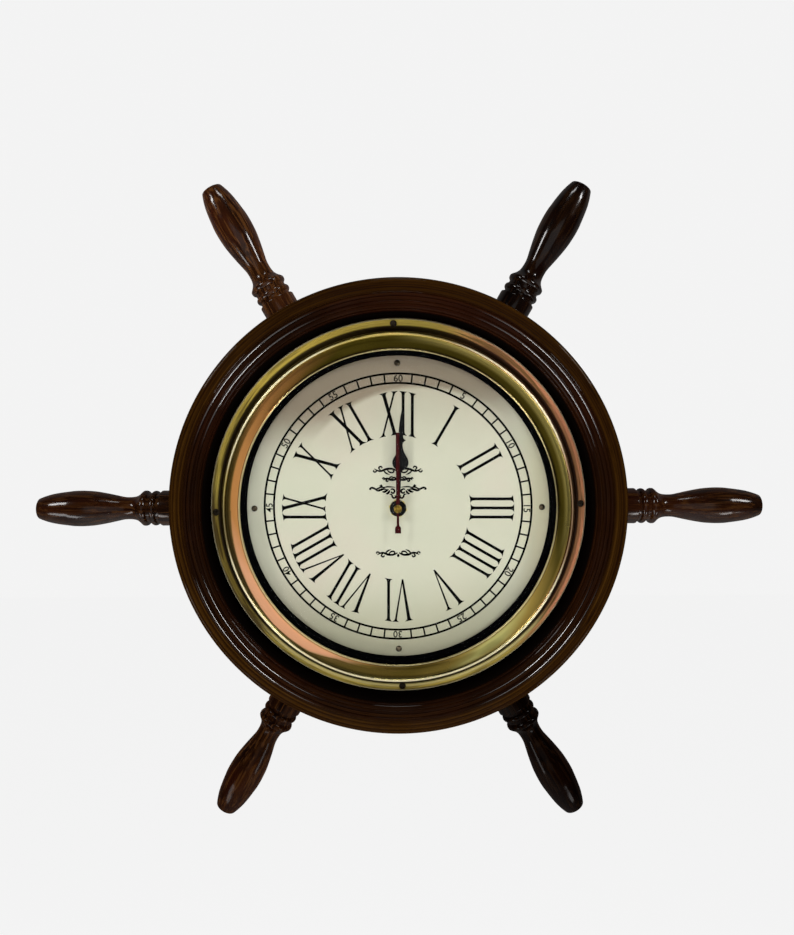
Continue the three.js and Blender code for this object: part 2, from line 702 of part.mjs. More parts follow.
const gasketBack = caseFront + STACK_GAP;
const gasket = tube(GASKET_RADIUS, BUSH_RADIUS + SEAT_GAP, gasketBack, gasketBack + GASKET_THICKNESS);
add("gasket", gasket, "rubber");
const washer = tube(WASHER_RADIUS, BUSH_RADIUS + SEAT_GAP, dialFront + STACK_GAP, washerTop);
add("washer", washer, "brass");
const nutCorner = NUT_ACROSS_FLATS / 2 / Math.cos(Math.PI / 6);
const nutBody = rod(nutCorner, washerTop + STACK_GAP, nutTop, spindle, 6);
add("hex_nut", cut(nutBody, rod(BUSH_RADIUS + SEAT_GAP, washerTop, nutTop + 1, spindle, ROUND_STEPS)), "brass");

// Hands: sheet blades on the ends of their pipes

function addHand(name, shape, hubRadius, holeRadius, back, turn, material, extra = []) {
  const blade = plate(shape, back, back + HAND_SHEET, 6);
  const hub = rod(hubRadius, back, back + HAND_SHEET, spindle, ROUND_STEPS);
  const hole = rod(holeRadius, back - 1, back + HAND_SHEET + 0.05, spindle, ROUND_STEPS);
  const mesh = add(name, joined(cut(joined(blade, hub), hole), ...extra), material);
  mesh.rotation.z = -rad(turn);
}

const hourBlade = mirrored([
  [1, HOUR_HUB_RADIUS - 1],
  [0.95, HOUR_BULB_AT - HOUR_BULB_RADIUS],
  ...arc([0, HOUR_BULB_AT], HOUR_BULB_RADIUS, -60, 20, 5),
  ...bend(
    [HOUR_BULB_RADIUS * 0.86, HOUR_BULB_AT + HOUR_BULB_RADIUS * 0.55],
    [1.1, HOUR_BULB_AT + HOUR_BULB_RADIUS * 1.4],
    [0.8, HOUR_HAND_LENGTH - 3],
    4,
  ),
  [0, HOUR_HAND_LENGTH],
]);
addHand(
  "hour_hand",
  hourBlade,
  HOUR_HUB_RADIUS,
  HOUR_PIPE_RADIUS + STACK_GAP,
  hourHandBack,
  HOUR_HAND_TURN,
  "blackHand",
);

const minuteBlade = mirrored([
  [0.95, MINUTE_HUB_RADIUS - 1],
  [0.95, MINUTE_FLARE_AT - 4.5],
  ...bend([1.2, MINUTE_FLARE_AT - 2.6], [1.5, MINUTE_FLARE_AT - 0.9], [MINUTE_FLARE_HALF, MINUTE_FLARE_AT], 3),
  ...bend([MINUTE_FLARE_HALF - 0.1, MINUTE_FLARE_AT + 0.2], [1.4, MINUTE_FLARE_AT + 1], [1.2, MINUTE_FLARE_AT + 2.6], 3),
  [1.7, MINUTE_FLARE_AT + 4.6],
  [1.35, (MINUTE_FLARE_AT + MINUTE_HAND_LENGTH) / 2 + 2],
  [0.3, MINUTE_HAND_LENGTH],
]);
addHand(
  "minute_hand",
  minuteBlade,
  MINUTE_HUB_RADIUS,
  MINUTE_PIPE_RADIUS + STACK_GAP,
  minuteHandBack,
  MINUTE_HAND_TURN,
  "blackHand",
);

const secondBlade = mirrored([
  [SECOND_PADDLE_HALF, -SECOND_TAIL_LENGTH],
  [SECOND_PADDLE_HALF, -SECOND_TAIL_LENGTH + 3.3],
  [0.72, -SECOND_TAIL_LENGTH + 4.7],
  [0.72, 0],
  [1.08, 1],
  [1.08, SECOND_HAND_LENGTH - 1],
  [0.7, SECOND_HAND_LENGTH],
]);
const capHeight = 0.9;
const capTop = secondHandBack + HAND_SHEET + capHeight;
const cap = turned(
  [[0, secondHandBack + HAND_SHEET - 0.1], [CAP_RADIUS, secondHandBack + HAND_SHEET - 0.1]].concat(
    bend([CAP_RADIUS, secondHandBack + HAND_SHEET + 0.3], [CAP_RADIUS * 0.8, capTop], [0, capTop], 3),
  ),
  ROUND_STEPS,
);
const secondSocket = tube(
  SECOND_SHAFT_RADIUS + STACK_GAP + 0.5,
  SECOND_SHAFT_RADIUS + STACK_GAP,
  secondHandBack - 0.4,
  secondHandBack + 0.1,
  spindle,
  SMALL_STEPS,
);
addHand(
  "second_hand",
  secondBlade,
  CAP_RADIUS - 0.3,
  SECOND_SHAFT_RADIUS + STACK_GAP,
  secondHandBack,
  SECOND_HAND_TURN,
  "redHand",
  [cap, secondSocket],
);

// Gears: straight-flanked teeth with room to run, slender on pinions

const layerTop = (layer) => caseInsideFront - SEAT_GAP - layer * LAYER_PITCH;
const layerBottom = (layer) => layerTop(layer) - WHEEL_THICKNESS;

function gearSolid(teeth, module, bottom, top, at, toothAt, isPinion) {
  const pitchRadius = (teeth * module) / 2;
  const tip = pitchRadius + ADDENDUM * module;
  const root = pitchRadius - 1.1 * module;
  const tipHalf = (isPinion ? 0.11 : 0.08) * Math.PI * module;
  const rootHalf = (isPinion ? 0.14 : 0.2) * Math.PI * module;
  const points = [];
  for (let i = 0; i < teeth; i++) {
    const middle = rad(toothAt) + (2 * Math.PI * i) / teeth;
    const corners = [
      [root, -rootHalf],
      [tip, -tipHalf],
      [tip, tipHalf],
      [root, rootHalf],
    ];
    for (const [radius, half] of corners) {
      const angle = middle + half / radius;
      points.push(new THREE.Vector2(radius * Math.cos(angle), radius * Math.sin(angle)));
    }
  }
  return plate(new THREE.Shape(points), bottom, top).translate([at.x, at.y, 0]);
}

function wheel(teeth, module, layer, at, toothAt) {
  return gearSolid(teeth, module, layerBottom(layer), layerTop(layer), at, toothAt, false);
}

function pinion(teeth, module, layer, at, toothAt) {
  const bottom = layerBottom(layer) - PINION_OVERLAP;
  return gearSolid(teeth, module, bottom, layerTop(layer) + PINION_OVERLAP, at, toothAt, true);
}

// In a pair at rest the wheel has a tooth on the line of centres, and the pinion a gap
const gapFor = (leaves, bearing) => bearing + 180 + 180 / leaves;

// Bearings: the pivots run in bosses of the case, the cover and the middle plate
const arborEnd = caseInsideBack + 1;
const bossTop = caseInsideBack + 2.4;
const pivotHole = ARBOR_RADIUS + RUNNING_GAP;
const bossRadius = pivotHole + BEARING_WALL;
const frontBoss = layerTop(2) + 0.6;
const plateTop = layerTop(3);
const plateBottom = layerBottom(3);

add(
  "third_wheel",
  joined(
    wheel(THIRD_TEETH, thirdModule, 3, thirdArbor, THIRD_BEARING + 180),
    pinion(THIRD_LEAVES, centreModule, 2, thirdArbor, gapFor(THIRD_LEAVES, THIRD_BEARING)),
    rod(ARBOR_RADIUS, arborEnd, caseInsideFront - 1, thirdArbor),
  ),
  "whitePlastic",
);

const minutePipeTop = minuteHandBack + HAND_SHEET + 0.4;
const cannonTop = layerTop(1) + PINION_OVERLAP;
const hourWheelHole = MINUTE_PIPE_RADIUS + RUNNING_GAP;
add(
  "centre_wheel",
  cut(
    wheel(CENTRE_TEETH, centreModule, 2, spindle, THIRD_BEARING),
    rod(MINUTE_PIPE_RADIUS + STACK_GAP, layerBottom(2) - 1, layerTop(2) + 1, spindle, ROUND_STEPS),
  ),
  "whitePlastic",
);
add(
  "cannon_pinion",
  cut(
    joined(
      pinion(CANNON_LEAVES, cannonModule, 1, spindle, gapFor(CANNON_LEAVES, MOTION_BEARING + 180)),
      rod(MINUTE_PIPE_RADIUS, layerBottom(2) - 0.2, minutePipeTop, spindle, ROUND_STEPS),
    ),
    rod(SECOND_SHAFT_RADIUS + RUNNING_GAP, 0, minutePipeTop + 1, spindle, SMALL_STEPS),
  ),
  "brass",
);
add(
  "second_wheel",
  joined(
    wheel(SECOND_TEETH, secondModule, 4, spindle, INTERMEDIATE_BEARING),
    pinion(SECOND_LEAVES, thirdModule, 3, spindle, gapFor(SECOND_LEAVES, THIRD_BEARING + 180)),
    rod(SECOND_SHAFT_RADIUS, arborEnd, secondHandBack + HAND_SHEET - 0.1 - STACK_GAP, spindle),
  ),
  "whitePlastic",
);
add(
  "intermediate_wheel",
  joined(
    wheel(INTERMEDIATE_TEETH, rotorModule, 5, intermediateArbor, ROTOR_BEARING),
    pinion(
      INTERMEDIATE_LEAVES,
      secondModule,
      4,
      intermediateArbor,
      gapFor(INTERMEDIATE_LEAVES, INTERMEDIATE_BEARING),
    ),
    rod(ARBOR_RADIUS, arborEnd, plateTop, intermediateArbor),
  ),
  "whitePlastic",
);
const magnetBottom = layerTop(5) + SEAT_GAP;
add(
  "rotor",
  joined(
    pinion(ROTOR_LEAVES, rotorModule, 5, rotorArbor, gapFor(ROTOR_LEAVES, ROTOR_BEARING)),
    rod(MAGNET_RADIUS, magnetBottom, magnetBottom + MAGNET_THICKNESS, rotorArbor, 16),
    rod(ARBOR_RADIUS, arborEnd, plateTop, rotorArbor),
  ),
  "steel",
);
const hourPipeTop = hourHandBack + HAND_SHEET + 0.4;
add(
  "hour_wheel",
  cut(
    joined(
      wheel(HOUR_TEETH, hourModule, 0, spindle, MOTION_BEARING),
      rod(HOUR_PIPE_RADIUS, layerBottom(0), hourPipeTop, spindle, ROUND_STEPS),
    ),
    rod(hourWheelHole, layerBottom(0) - 1, hourPipeTop + 1, spindle, ROUND_STEPS),
  ),
  "whitePlastic",
);
const studRadius = ARBOR_RADIUS;
const motionWheelTooth = MOTION_BEARING + 180;
add(
  "motion_wheel",
  cut(
    joined(
      wheel(MOTION_TEETH, cannonModule, 1, motionArbor, motionWheelTooth),
      pinion(MOTION_LEAVES, hourModule, 0, motionArbor, gapFor(MOTION_LEAVES, MOTION_BEARING)),
      rod(ARBOR_RADIUS + 0.5, layerBottom(1), layerTop(0), motionArbor),
    ),
    rod(studRadius + 0.2, layerBottom(2), caseInsideFront + 1, motionArbor),
  ),
  "whitePlastic",
);

// The setting knob turns the motion wheel from behind, through a pinion on its shaft
const motionPitch = 360 / MOTION_TEETH;
const toothsPast = (SETTING_BEARING - motionWheelTooth) / motionPitch;
const settingPhase = (toothsPast - Math.round(toothsPast)) * motionPitch;
const settingTooth =
  gapFor(SETTING_LEAVES, SETTING_BEARING) + (settingPhase * MOTION_TEETH) / SETTING_LEAVES;
const knobShaft = 1.2;
const knobTop = caseBack - SEAT_GAP;
const knobOutline = new THREE.Shape(
  Array.from({ length: 24 }, (_, i) => {
    const radius = KNOB_RADIUS - (i % 2) * 0.35;
    return new THREE.Vector2(radius * Math.cos(rad(15 * i)), radius * Math.sin(rad(15 * i)));
  }),
);
add(
  "setting_knob",
  joined(
    pinion(SETTING_LEAVES, cannonModule, 1, settingArbor, settingTooth),
    rod(knobShaft, knobTop - 1, caseInsideFront - 0.6, settingArbor, 12),
    plate(knobOutline, knobTop - KNOB_THICKNESS, knobTop).translate([settingArbor.x, settingArbor.y, 0]),
  ),
  "whitePlastic",
);

// Stepping motor: stator loop round the rotor, with the coil on its far limb

const statorTop = magnetBottom + MAGNET_THICKNESS / 2 + STATOR_THICKNESS / 2;
const statorBottom = statorTop - STATOR_THICKNESS;
const statorHole = MAGNET_RADIUS + 0.4;
const coilTop = rotorArbor.y - STATOR_BAR / 2 - SEAT_GAP;
const coilBottom = partitionTop + 3 * SEAT_GAP + STATOR_FOOT + SEAT_GAP;
const coilX = caseInsideX - COIL_WALL_ROOM - COIL_RADIUS;
const coilY = (coilTop + coilBottom) / 2;
const limbRight = coilX + STATOR_LIMB / 2;
const innerLimb = coilX - COIL_RADIUS - 1;
const platePosts = [
  new THREE.Vector2(innerLimb - 1.5, coilY),
  new THREE.Vector2(innerLimb + 0.4, rotorArbor.y + 1.5),
];
const postRadius = 1.6;
const pinRadius = 0.8;

function statorSolid() {
  const outer = block(
    rotorArbor.x - STATOR_BAR / 2,
    limbRight,
    coilBottom - SEAT_GAP - STATOR_FOOT,
    rotorArbor.y + STATOR_BAR / 2,
    statorBottom,
    statorTop,
  );
  const corner = block(
    rotorArbor.x - STATOR_BAR,
    innerLimb - 3,
    coilBottom - 6,
    rotorArbor.y - STATOR_BAR / 2,
    statorBottom - 1,
    statorTop + 1,
  );
  const windowBlock = block(
    innerLimb,
    coilX - STATOR_LIMB / 2,
    coilBottom - SEAT_GAP,
    coilTop + SEAT_GAP,
    statorBottom - 1,
    statorTop + 1,
  );
  const pinHoles = platePosts.map((at) => rod(pinRadius + 0.2, statorBottom - 1, statorTop + 1, at));
  const rotorHole = rod(statorHole, statorBottom - 1, statorTop + 1, rotorArbor, ROUND_STEPS);
  return cut(outer, corner, windowBlock, rotorHole, ...pinHoles);
}

add("stator", statorSolid(), "steel");

function coilSolid() {
  const height = (statorTop + statorBottom) / 2;
  const flange = COIL_RADIUS;
  const wound = COIL_RADIUS - 0.5;
  const half = (coilTop - coilBottom) / 2;
  const outline = [
    [0, -half],
    [flange, -half],
    [flange, -half + 0.8],
    [wound, -half + 0.8],
    [wound, half - 0.8],
    [flange, half - 0.8],
    [flange, half],
    [0, half],
  ];
  const winding = turned(outline, 16).rotate([90, 0, 0]).translate([coilX, coilY, height]);
  const slot = block(
    coilX - STATOR_LIMB / 2 - 0.2,
    coilX + STATOR_LIMB / 2 + 0.2,
    coilBottom - 1,
    coilTop + 1,
    statorBottom - 0.2,
    statorTop + 0.2,
  );
  return cut(winding, slot);
}

add("coil", coilSolid(), "copper");

// Middle plate: carries the front pivots of the rotor and intermediate wheel, and the stator

function middlePlateSolid() {
  const corners = [
    [intermediateArbor.x - 3.5, intermediateArbor.y - 3.5],
    [platePosts[0].x - 2.5, platePosts[0].y - 2.4],
    [platePosts[0].x + 2, platePosts[0].y - 2.4],
    [platePosts[0].x + 2, coilTop + SEAT_GAP],
    [platePosts[1].x + 2.2, coilTop + 2],
    [platePosts[1].x + 2.2, platePosts[1].y + 2.4],
    [rotorArbor.x - 3, rotorArbor.y + 4],
    [intermediateArbor.x - 3.5, intermediateArbor.y + 4],
  ];
  const outline = new THREE.Shape(corners.map(([x, y]) => new THREE.Vector2(x, y)));
  const pins = platePosts.flatMap((at) => [
    rod(pinRadius + 0.6, statorTop + STACK_GAP, plateTop, at),
    rod(pinRadius, statorBottom - 0.3, plateTop, at),
  ]);
  const pivots = [rotorArbor, intermediateArbor].map((at) =>
    rod(pivotHole, plateBottom - 1, plateTop + 1, at),
  );
  return cut(joined(plate(outline, plateBottom, plateTop), ...pins), ...pivots);
}

add("middle_plate", middlePlateSolid(), "whitePlastic");

// Circuit board with its chip, and the quartz crystal in its can

const circuitLeft = -caseInsideX + SEAT_GAP;
const circuitTop = caseInsideY - SEAT_GAP;
const circuitPegs = [
  new THREE.Vector2(circuitLeft + 2.5, circuitTop - 2.5),
  new THREE.Vector2(circuitLeft + CIRCUIT_WIDTH - 2.5, circuitTop - 2.5),
];
const circuitFront = caseInsideFront - 1.5;
const circuitBack = circuitFront - CIRCUIT_THICKNESS;
const circuitHoles = circuitPegs.map((at) => rod(0.9, circuitBack - 1, circuitFront + 1, at));
const circuitSheet = block(
  circuitLeft,
  circuitLeft + CIRCUIT_WIDTH,
  circuitTop - CIRCUIT_HEIGHT,
  circuitTop,
  circuitBack,
  circuitFront,
);
const chip = rod(
  2,
  circuitBack - 0.6,
  circuitBack + 0.1,
  new THREE.Vector2(circuitLeft + CIRCUIT_WIDTH / 2, circuitTop - CIRCUIT_HEIGHT + 4.5),
  12,
);
add("circuit_board", joined(cut(circuitSheet, ...circuitHoles), chip), "circuit");
const crystalSolid = rod(CRYSTAL_RADIUS, -CRYSTAL_LENGTH / 2, CRYSTAL_LENGTH / 2, spindle, 12);
const crystal = add("quartz_crystal", crystalSolid, "steel");
crystal.rotation.y = Math.PI / 2;
crystal.position.set(
  circuitLeft + CIRCUIT_WIDTH / 2,
  circuitTop - 2.5,
  circuitBack - SEAT_GAP - CRYSTAL_RADIUS,
);

// Battery across the bottom of the case, and its two contacts

const cellOutline = [
  [0, -cellHalf],
  [CELL_RADIUS - 0.5, -cellHalf],
  [CELL_RADIUS, -cellHalf + 0.5],
  [CELL_RADIUS, cellHalf - CELL_NUB_LENGTH - 0.5],
  [CELL_RADIUS - 0.5, cellHalf - CELL_NUB_LENGTH],
  [CELL_NUB_RADIUS, cellHalf - CELL_NUB_LENGTH],
  [CELL_NUB_RADIUS, cellHalf],
  [0, cellHalf],
];
const battery = add("battery", turned(cellOutline, ROUND_STEPS), "cell");
battery.rotation.y = Math.PI / 2;
battery.position.set(0, cellY, cellZ);

// Each contact is a sprung strip, bowed from the end wall to the cell
function contactSolid(side) {
  const wallX = caseInsideX - STACK_GAP;
  const cellX = cellHalf + STACK_GAP;
  const bow = [
    [wallX - CONTACT_SHEET, cellY + 5],
    [cellX, cellY + 1],
    [cellX, cellY - 1],
    [wallX - CONTACT_SHEET, cellY - 5],
    [wallX, cellY - 5],
    [cellX + CONTACT_SHEET, cellY - 1],
    [cellX + CONTACT_SHEET, cellY + 1],
    [wallX, cellY + 5],
  ];
  const shape = new THREE.Shape(bow.map(([x, y]) => new THREE.Vector2(side * x, y)));
  return plate(shape, cellZ - 3, cellZ + 3);
}

add("battery_contact_plus", contactSolid(1), "steel");
add("battery_contact_minus", contactSolid(-1), "steel");

// Movement case: an open box with the threaded bush, closed by the rear cover

const coverTop = caseBack + CASE_WALL;
const shellBack = coverTop + SEAT_GAP;

function caseSolid() {
  const box = block(-caseX, caseX, -caseY, caseY, shellBack, caseFront);
  const hollow = block(
    -caseInsideX,
    caseInsideX,
    -caseInsideY,
    caseInsideY,
    shellBack - 1,
    caseInsideFront,
  );
  const inside = caseInsideFront + 0.1;
  const fittings = [
    rod(BUSH_RADIUS, caseFront - 0.1, bushTop, spindle, ROUND_STEPS),
    rod(bossRadius, frontBoss, inside, thirdArbor),
    rod(studRadius, layerTop(2) + 0.3, inside, motionArbor),
    rod(knobShaft + RUNNING_GAP + BEARING_WALL, layerTop(0) - 0.4, inside, settingArbor, 12),
    ...platePosts.map((at) => rod(postRadius, plateTop + STACK_GAP, inside, at)),
    ...circuitPegs.map((at) => rod(1.5, circuitFront + STACK_GAP, inside, at)),
    ...circuitPegs.map((at) => rod(0.7, circuitBack - 0.4, inside, at)),
  ];
  const bores = [
    rod(HOUR_PIPE_RADIUS + RUNNING_GAP, caseInsideFront - 1, bushTop + 1, spindle, ROUND_STEPS),
    rod(pivotHole, frontBoss - 1, caseInsideFront - 0.5, thirdArbor),
    rod(knobShaft + RUNNING_GAP, layerTop(0) - 1, caseInsideFront - 0.1, settingArbor, 12),
  ];
  return cut(joined(cut(box, hollow), ...fittings), ...bores);
}

add("movement_case", caseSolid(), "blackPlastic");

function coverSolid() {
  const lipX = caseInsideX - STACK_GAP;
  const lipY = caseInsideY - STACK_GAP;
  const partitionBottom = partitionTop - PARTITION;
  const sheet = block(-caseX, caseX, -caseY, caseY, caseBack, coverTop);
  const partition = block(
    -lipX,
    lipX,
    partitionBottom,
    partitionTop,
    caseBack,
    caseInsideFront - SEAT_GAP,
  );
  const lip = cut(
    block(-lipX, lipX, partitionBottom, lipY, caseBack, coverTop + 1.8),
    block(-lipX + 1, lipX - 1, partitionBottom, lipY - 1, coverTop, coverTop + 3),
  );
  const bay = block(
    -caseInsideX + 0.6,
    caseInsideX - 0.6,
    -caseInsideY + 0.05,
    partitionBottom - 0.05,
    caseBack - 1,
    coverTop + 1,
  );
  const arbors = [spindle, thirdArbor, intermediateArbor, rotorArbor];
  const bosses = arbors.map((at) => rod(bossRadius, caseBack + 0.1, bossTop, at));
  const pivots = arbors.map((at) => rod(pivotHole, coverTop + 0.5, bossTop + 1, at));
  const knobHole = rod(knobShaft + RUNNING_GAP, caseBack - 1, coverTop + 3, settingArbor, 12);
  return cut(joined(sheet, partition, lip, ...bosses), bay, knobHole, ...pivots);
}

add("rear_cover", coverSolid(), "blackPlastic");

// Stood up against the wall, with the seat of the keyhole at the origin
bench.rotation.x = Math.PI / 2;
bench.position.z = -hangHeight;
const clock = new THREE.Group();
clock.add(bench);

export default clock;
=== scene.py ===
# A wall clock in the form of a ship's wheel, dressed piece by piece in the order of its making:
# rim, handles, back board and hanger, dial, spacer and glass, bezel, movement, hands.
import math

import bmesh
import bpy
from mathutils import Matrix, Vector


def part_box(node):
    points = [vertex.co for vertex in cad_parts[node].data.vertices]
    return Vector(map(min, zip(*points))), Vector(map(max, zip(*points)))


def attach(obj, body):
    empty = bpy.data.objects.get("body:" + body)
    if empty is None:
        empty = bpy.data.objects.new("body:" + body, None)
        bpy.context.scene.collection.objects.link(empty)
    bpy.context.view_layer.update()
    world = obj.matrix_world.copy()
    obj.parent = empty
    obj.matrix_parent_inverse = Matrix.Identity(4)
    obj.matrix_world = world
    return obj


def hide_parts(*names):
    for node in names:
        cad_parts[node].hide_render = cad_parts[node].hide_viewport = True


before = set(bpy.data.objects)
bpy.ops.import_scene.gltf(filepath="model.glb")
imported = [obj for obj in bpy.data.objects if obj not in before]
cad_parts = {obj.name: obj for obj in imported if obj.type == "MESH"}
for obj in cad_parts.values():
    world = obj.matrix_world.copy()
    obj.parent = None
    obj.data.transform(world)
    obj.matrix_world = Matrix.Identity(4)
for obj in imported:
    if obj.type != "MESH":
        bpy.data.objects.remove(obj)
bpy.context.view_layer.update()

# The rim is one ring of dark stained hardwood, turned on a faceplate: a stepped front with fine beads,
# a straight bore for the bezel, and a rebate behind for the board. Gloss varnish shows the turning marks.
MM = 0.001
CENTRE_BELOW_HANGER = 106.0
RIM_RADIUS = 139.6
RIM_BORE = 117.4
REBATE_RADIUS = 126.0
REBATE_DEPTH = 22.7
BEAD_OUTER = 128.95
BEAD_INNER = 124.45


def place(x, y, height):
    """A point given in millimetres from the wheel's centre: right, up and out from the wall."""
    return Vector((x, -height, y - CENTRE_BELOW_HANGER)) * MM


def standing(name, data):
    """An object in the scene, for a mesh, a text, a lamp or the camera."""
    thing = bpy.data.objects.new(name, data)
    bpy.context.collection.objects.link(thing)
    return thing


def finished(name, mesh, material, replaced=(), body="clock", sharp=35):
    """A mesh as a piece of the clock, instead of the nodes it stands for, on its body."""
    mesh.name = name
    mesh.shade_smooth()
    mesh.set_sharp_from_angle(angle=math.radians(sharp))
    mesh.materials.clear()
    mesh.materials.append(material)
    piece = standing(name, mesh)
    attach(piece, body)
    if replaced:
        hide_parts(*replaced)


def as_mesh(shape):
    """Turns worked geometry into a mesh with its doubles merged and its faces pointing out."""
    bmesh.ops.remove_doubles(shape, verts=shape.verts, dist=1e-7)
    bmesh.ops.recalc_face_normals(shape, faces=shape.faces)
    mesh = bpy.data.meshes.new("worked")
    shape.to_mesh(mesh)
    shape.free()
    return mesh


def walled(shape, rows):
    """Joins each row of corners to the next by a ring of faces."""
    for lower, upper in zip(rows, rows[1:]):
        for i in range(len(lower)):
            j = (i + 1) % len(lower)
            corners = list(dict.fromkeys((lower[i], lower[j], upper[j], upper[i])))
            if len(corners) > 2:
                shape.faces.new(corners)


def capped(shape, rows):
    """Closes the first and the last row, and joins all of them."""
    shape.faces.new(rows[0])
    shape.faces.new(rows[-1])
    walled(shape, rows)


def turning(shape, outline, steps, to_point=place):
    """Adds a turned body, from its closed outline of (radius, height) corners in millimetres."""
    turns = [(math.cos(math.tau * step / steps), math.sin(math.tau * step / steps)) for step in range(steps)]
    rows = []
    for radius, height in outline:
        if radius:
            rows.append([shape.verts.new(to_point(radius * c, radius * s, height)) for c, s in turns])
        else:
            rows.append([shape.verts.new(to_point(0, 0, height))] * steps)
    walled(shape, rows + rows[:1])


def turned(outline, steps, to_point=place):
    shape = bmesh.new()
    turning(shape, outline, steps, to_point)
    return as_mesh(shape)


def arc(centre, radius, start, end, points):
    """Points on an arc, in the plane of the outline, angles in degrees."""
    turns = [math.radians(start + (end - start) * i / (points - 1)) for i in range(points)]
    return [(centre[0] + radius * math.cos(a), centre[1] + radius * math.sin(a)) for a in turns]


def curve(points, steps):
    """A smooth line through the given points, with that many steps between two of them."""
    held = [points[0], *points, points[-1]]
    line = []
    for before, here, there, after in zip(*[map(Vector, held[k:]) for k in range(4)]):
        for step in range(steps):
            t = step / steps
            square, cube = t * t, t * t * t
            spot = (before * (-cube + 2 * square - t) + here * (3 * cube - 5 * square + 2)
                    + there * (-3 * cube + 4 * square + t) + after * (cube - square)) / 2
            line.append(tuple(spot))
    return line + [tuple(points[-1])]


def reckoned(operation, turned_round=False):
    """A way of reckoning with a socket, through one Math node."""
    def method(self, other):
        return self.work.maths(operation, *((other, self) if turned_round else (self, other)))
    return method


class Wire:
    """A socket that can be reckoned with."""

    __add__ = __radd__ = reckoned("ADD")
    __sub__ = reckoned("SUBTRACT")
    __rsub__ = reckoned("SUBTRACT", turned_round=True)
    __mul__ = __rmul__ = reckoned("MULTIPLY")
    __truediv__ = reckoned("DIVIDE")
    __pow__ = reckoned("POWER")

    def __init__(self, work, socket):
        self.work = work
        self.socket = socket


class Work:
    """A node tree being made, for a finish or for a repeated shape."""

    def __init__(self, tree):
        self.tree = tree
        self.tree.nodes.clear()

    def node(self, kind, settings=(), sockets=(), output=0):
        """Adds a node: its settings and a ramp's stops first, then its sockets' values or links."""
        made = self.tree.nodes.new(kind)
        settings = dict(settings)
        stops = settings.pop("stops", ())
        for name, value in settings.items():
            setattr(made, name, value)
        if stops:
            ramp = made.color_ramp.elements
            while len(ramp) < len(stops):
                ramp.new(0.5)
            for stop, (position, colour) in zip(ramp, stops):
                stop.position = position
                stop.color = (*colour, 1)
        for key, value in dict(sockets).items():
            if isinstance(value, Wire):
                self.tree.links.new(value.socket, made.inputs[key])
            else:
                made.inputs[key].default_value = value
        return Wire(self, made.outputs[output]) if len(made.outputs) else None

    def maths(self, operation, *values):
        return self.node("ShaderNodeMath", {"operation": operation}, dict(enumerate(values)))

    def parts(self, vector):
        return [self.node("ShaderNodeSeparateXYZ", (), {0: vector}, axis) for axis in "XYZ"]

    def joined(self, x, y, z):
        return self.node("ShaderNodeCombineXYZ", (), {0: x, 1: y, 2: z})

    def rays(self, *kinds):
        return [self.node("ShaderNodeLightPath", output=f"Is {kind} Ray") for kind in kinds]

    def spot(self):
        """Where a point is on the object."""
        return self.node("ShaderNodeTexCoord", output="Object")

    def wheel_spot(self):
        """Where a point is from the wheel's centre, as (vector, x, height, radius, depth)."""
        vector = self.spot()
        x, depth, z = self.parts(vector)
        height = z + CENTRE_BELOW_HANGER * MM
        return vector, x, height, (x * x + height * height) ** 0.5, depth

    def noise(self, vector, scale, detail=4, roughness=0.55, w=None, distortion=0):
        sockets = {"Vector": vector, "Scale": scale, "Detail": detail, "Roughness": roughness,
                   "Distortion": distortion}
        if w is not None:
            sockets["W"] = w
        dimensions = "3D" if w is None else "4D"
        return self.node("ShaderNodeTexNoise", {"noise_dimensions": dimensions}, sockets)

    def ramp(self, factor, *stops):
        return self.node("ShaderNodeValToRGB", {"stops": stops}, {0: factor})

    def span(self, value, low, high, new_low=0, new_high=1):
        """Maps low..high onto new_low..new_high, clamped."""
        return self.node("ShaderNodeMapRange", {"interpolation_type": "SMOOTHSTEP"},
                         {0: value, 1: low, 2: high, 3: new_low, 4: new_high})

    def mixed(self, factor, first, second, blend="MIX"):
        first, second = [v if isinstance(v, Wire) else (*v, 1) for v in (first, second)]
        return self.node("ShaderNodeMix", {"data_type": "RGBA", "blend_type": blend},
                         {0: factor, 6: first, 7: second}, 2)

    def layered(self, base, *layers):
        """A colour with others laid over it, each where its mask is 1."""
        for mask, colour in layers:
            base = self.mixed(mask, base, colour)
        return base

    def bump(self, height, distance, strength=1, under=None):
        sockets = {"Height": height, "Distance": distance, "Strength": strength}
        if under is not None:
            sockets["Normal"] = under
        return self.node("ShaderNodeBump", (), sockets)


def made_of(name, surface):
    """A material whose surface is the shader that the function makes."""
    material = bpy.data.materials.new(name)
    material.use_nodes = True
    work = Work(material.node_tree)
    work.node("ShaderNodeOutputMaterial", (), {"Surface": surface(work)})
    return material


def finish(name, build):
    """A material whose surface is a Principled shader with the sockets that build returns."""
    return made_of(name, lambda work: work.node("ShaderNodeBsdfPrincipled", (), build(work)))


WOOD_DARK = (0.0042, 0.0013, 0.0006)
WOOD_MIDDLE = (0.012, 0.0039, 0.0011)
WOOD_LIGHT = (0.033, 0.012, 0.0022)
WOOD_OLIVE = (0.03, 0.0115, 0.0016)
WOOD_PALE = (0.056, 0.0235, 0.0034)
WOOD_RED = (0.03, 0.006, 0.0024)
# Near-black for the bore and its arris: painted shade of the deep recess.
BORE_SHADE = (0.0022, 0.0013, 0.001)


def stained(work, grain, streak, cloud):
    """The colour of the stained wood: light and dark grain, thin dark pores, redder clouds."""
    base = work.ramp(grain * 0.75 + cloud * 0.25, (0.36, WOOD_DARK), (0.5, WOOD_MIDDLE), (0.66, WOOD_LIGHT))
    return work.layered(base, (work.span(cloud, 0.42, 0.66) * 0.4, WOOD_RED),
                        (work.span(streak, 0.58, 0.72) * 0.7, WOOD_DARK))


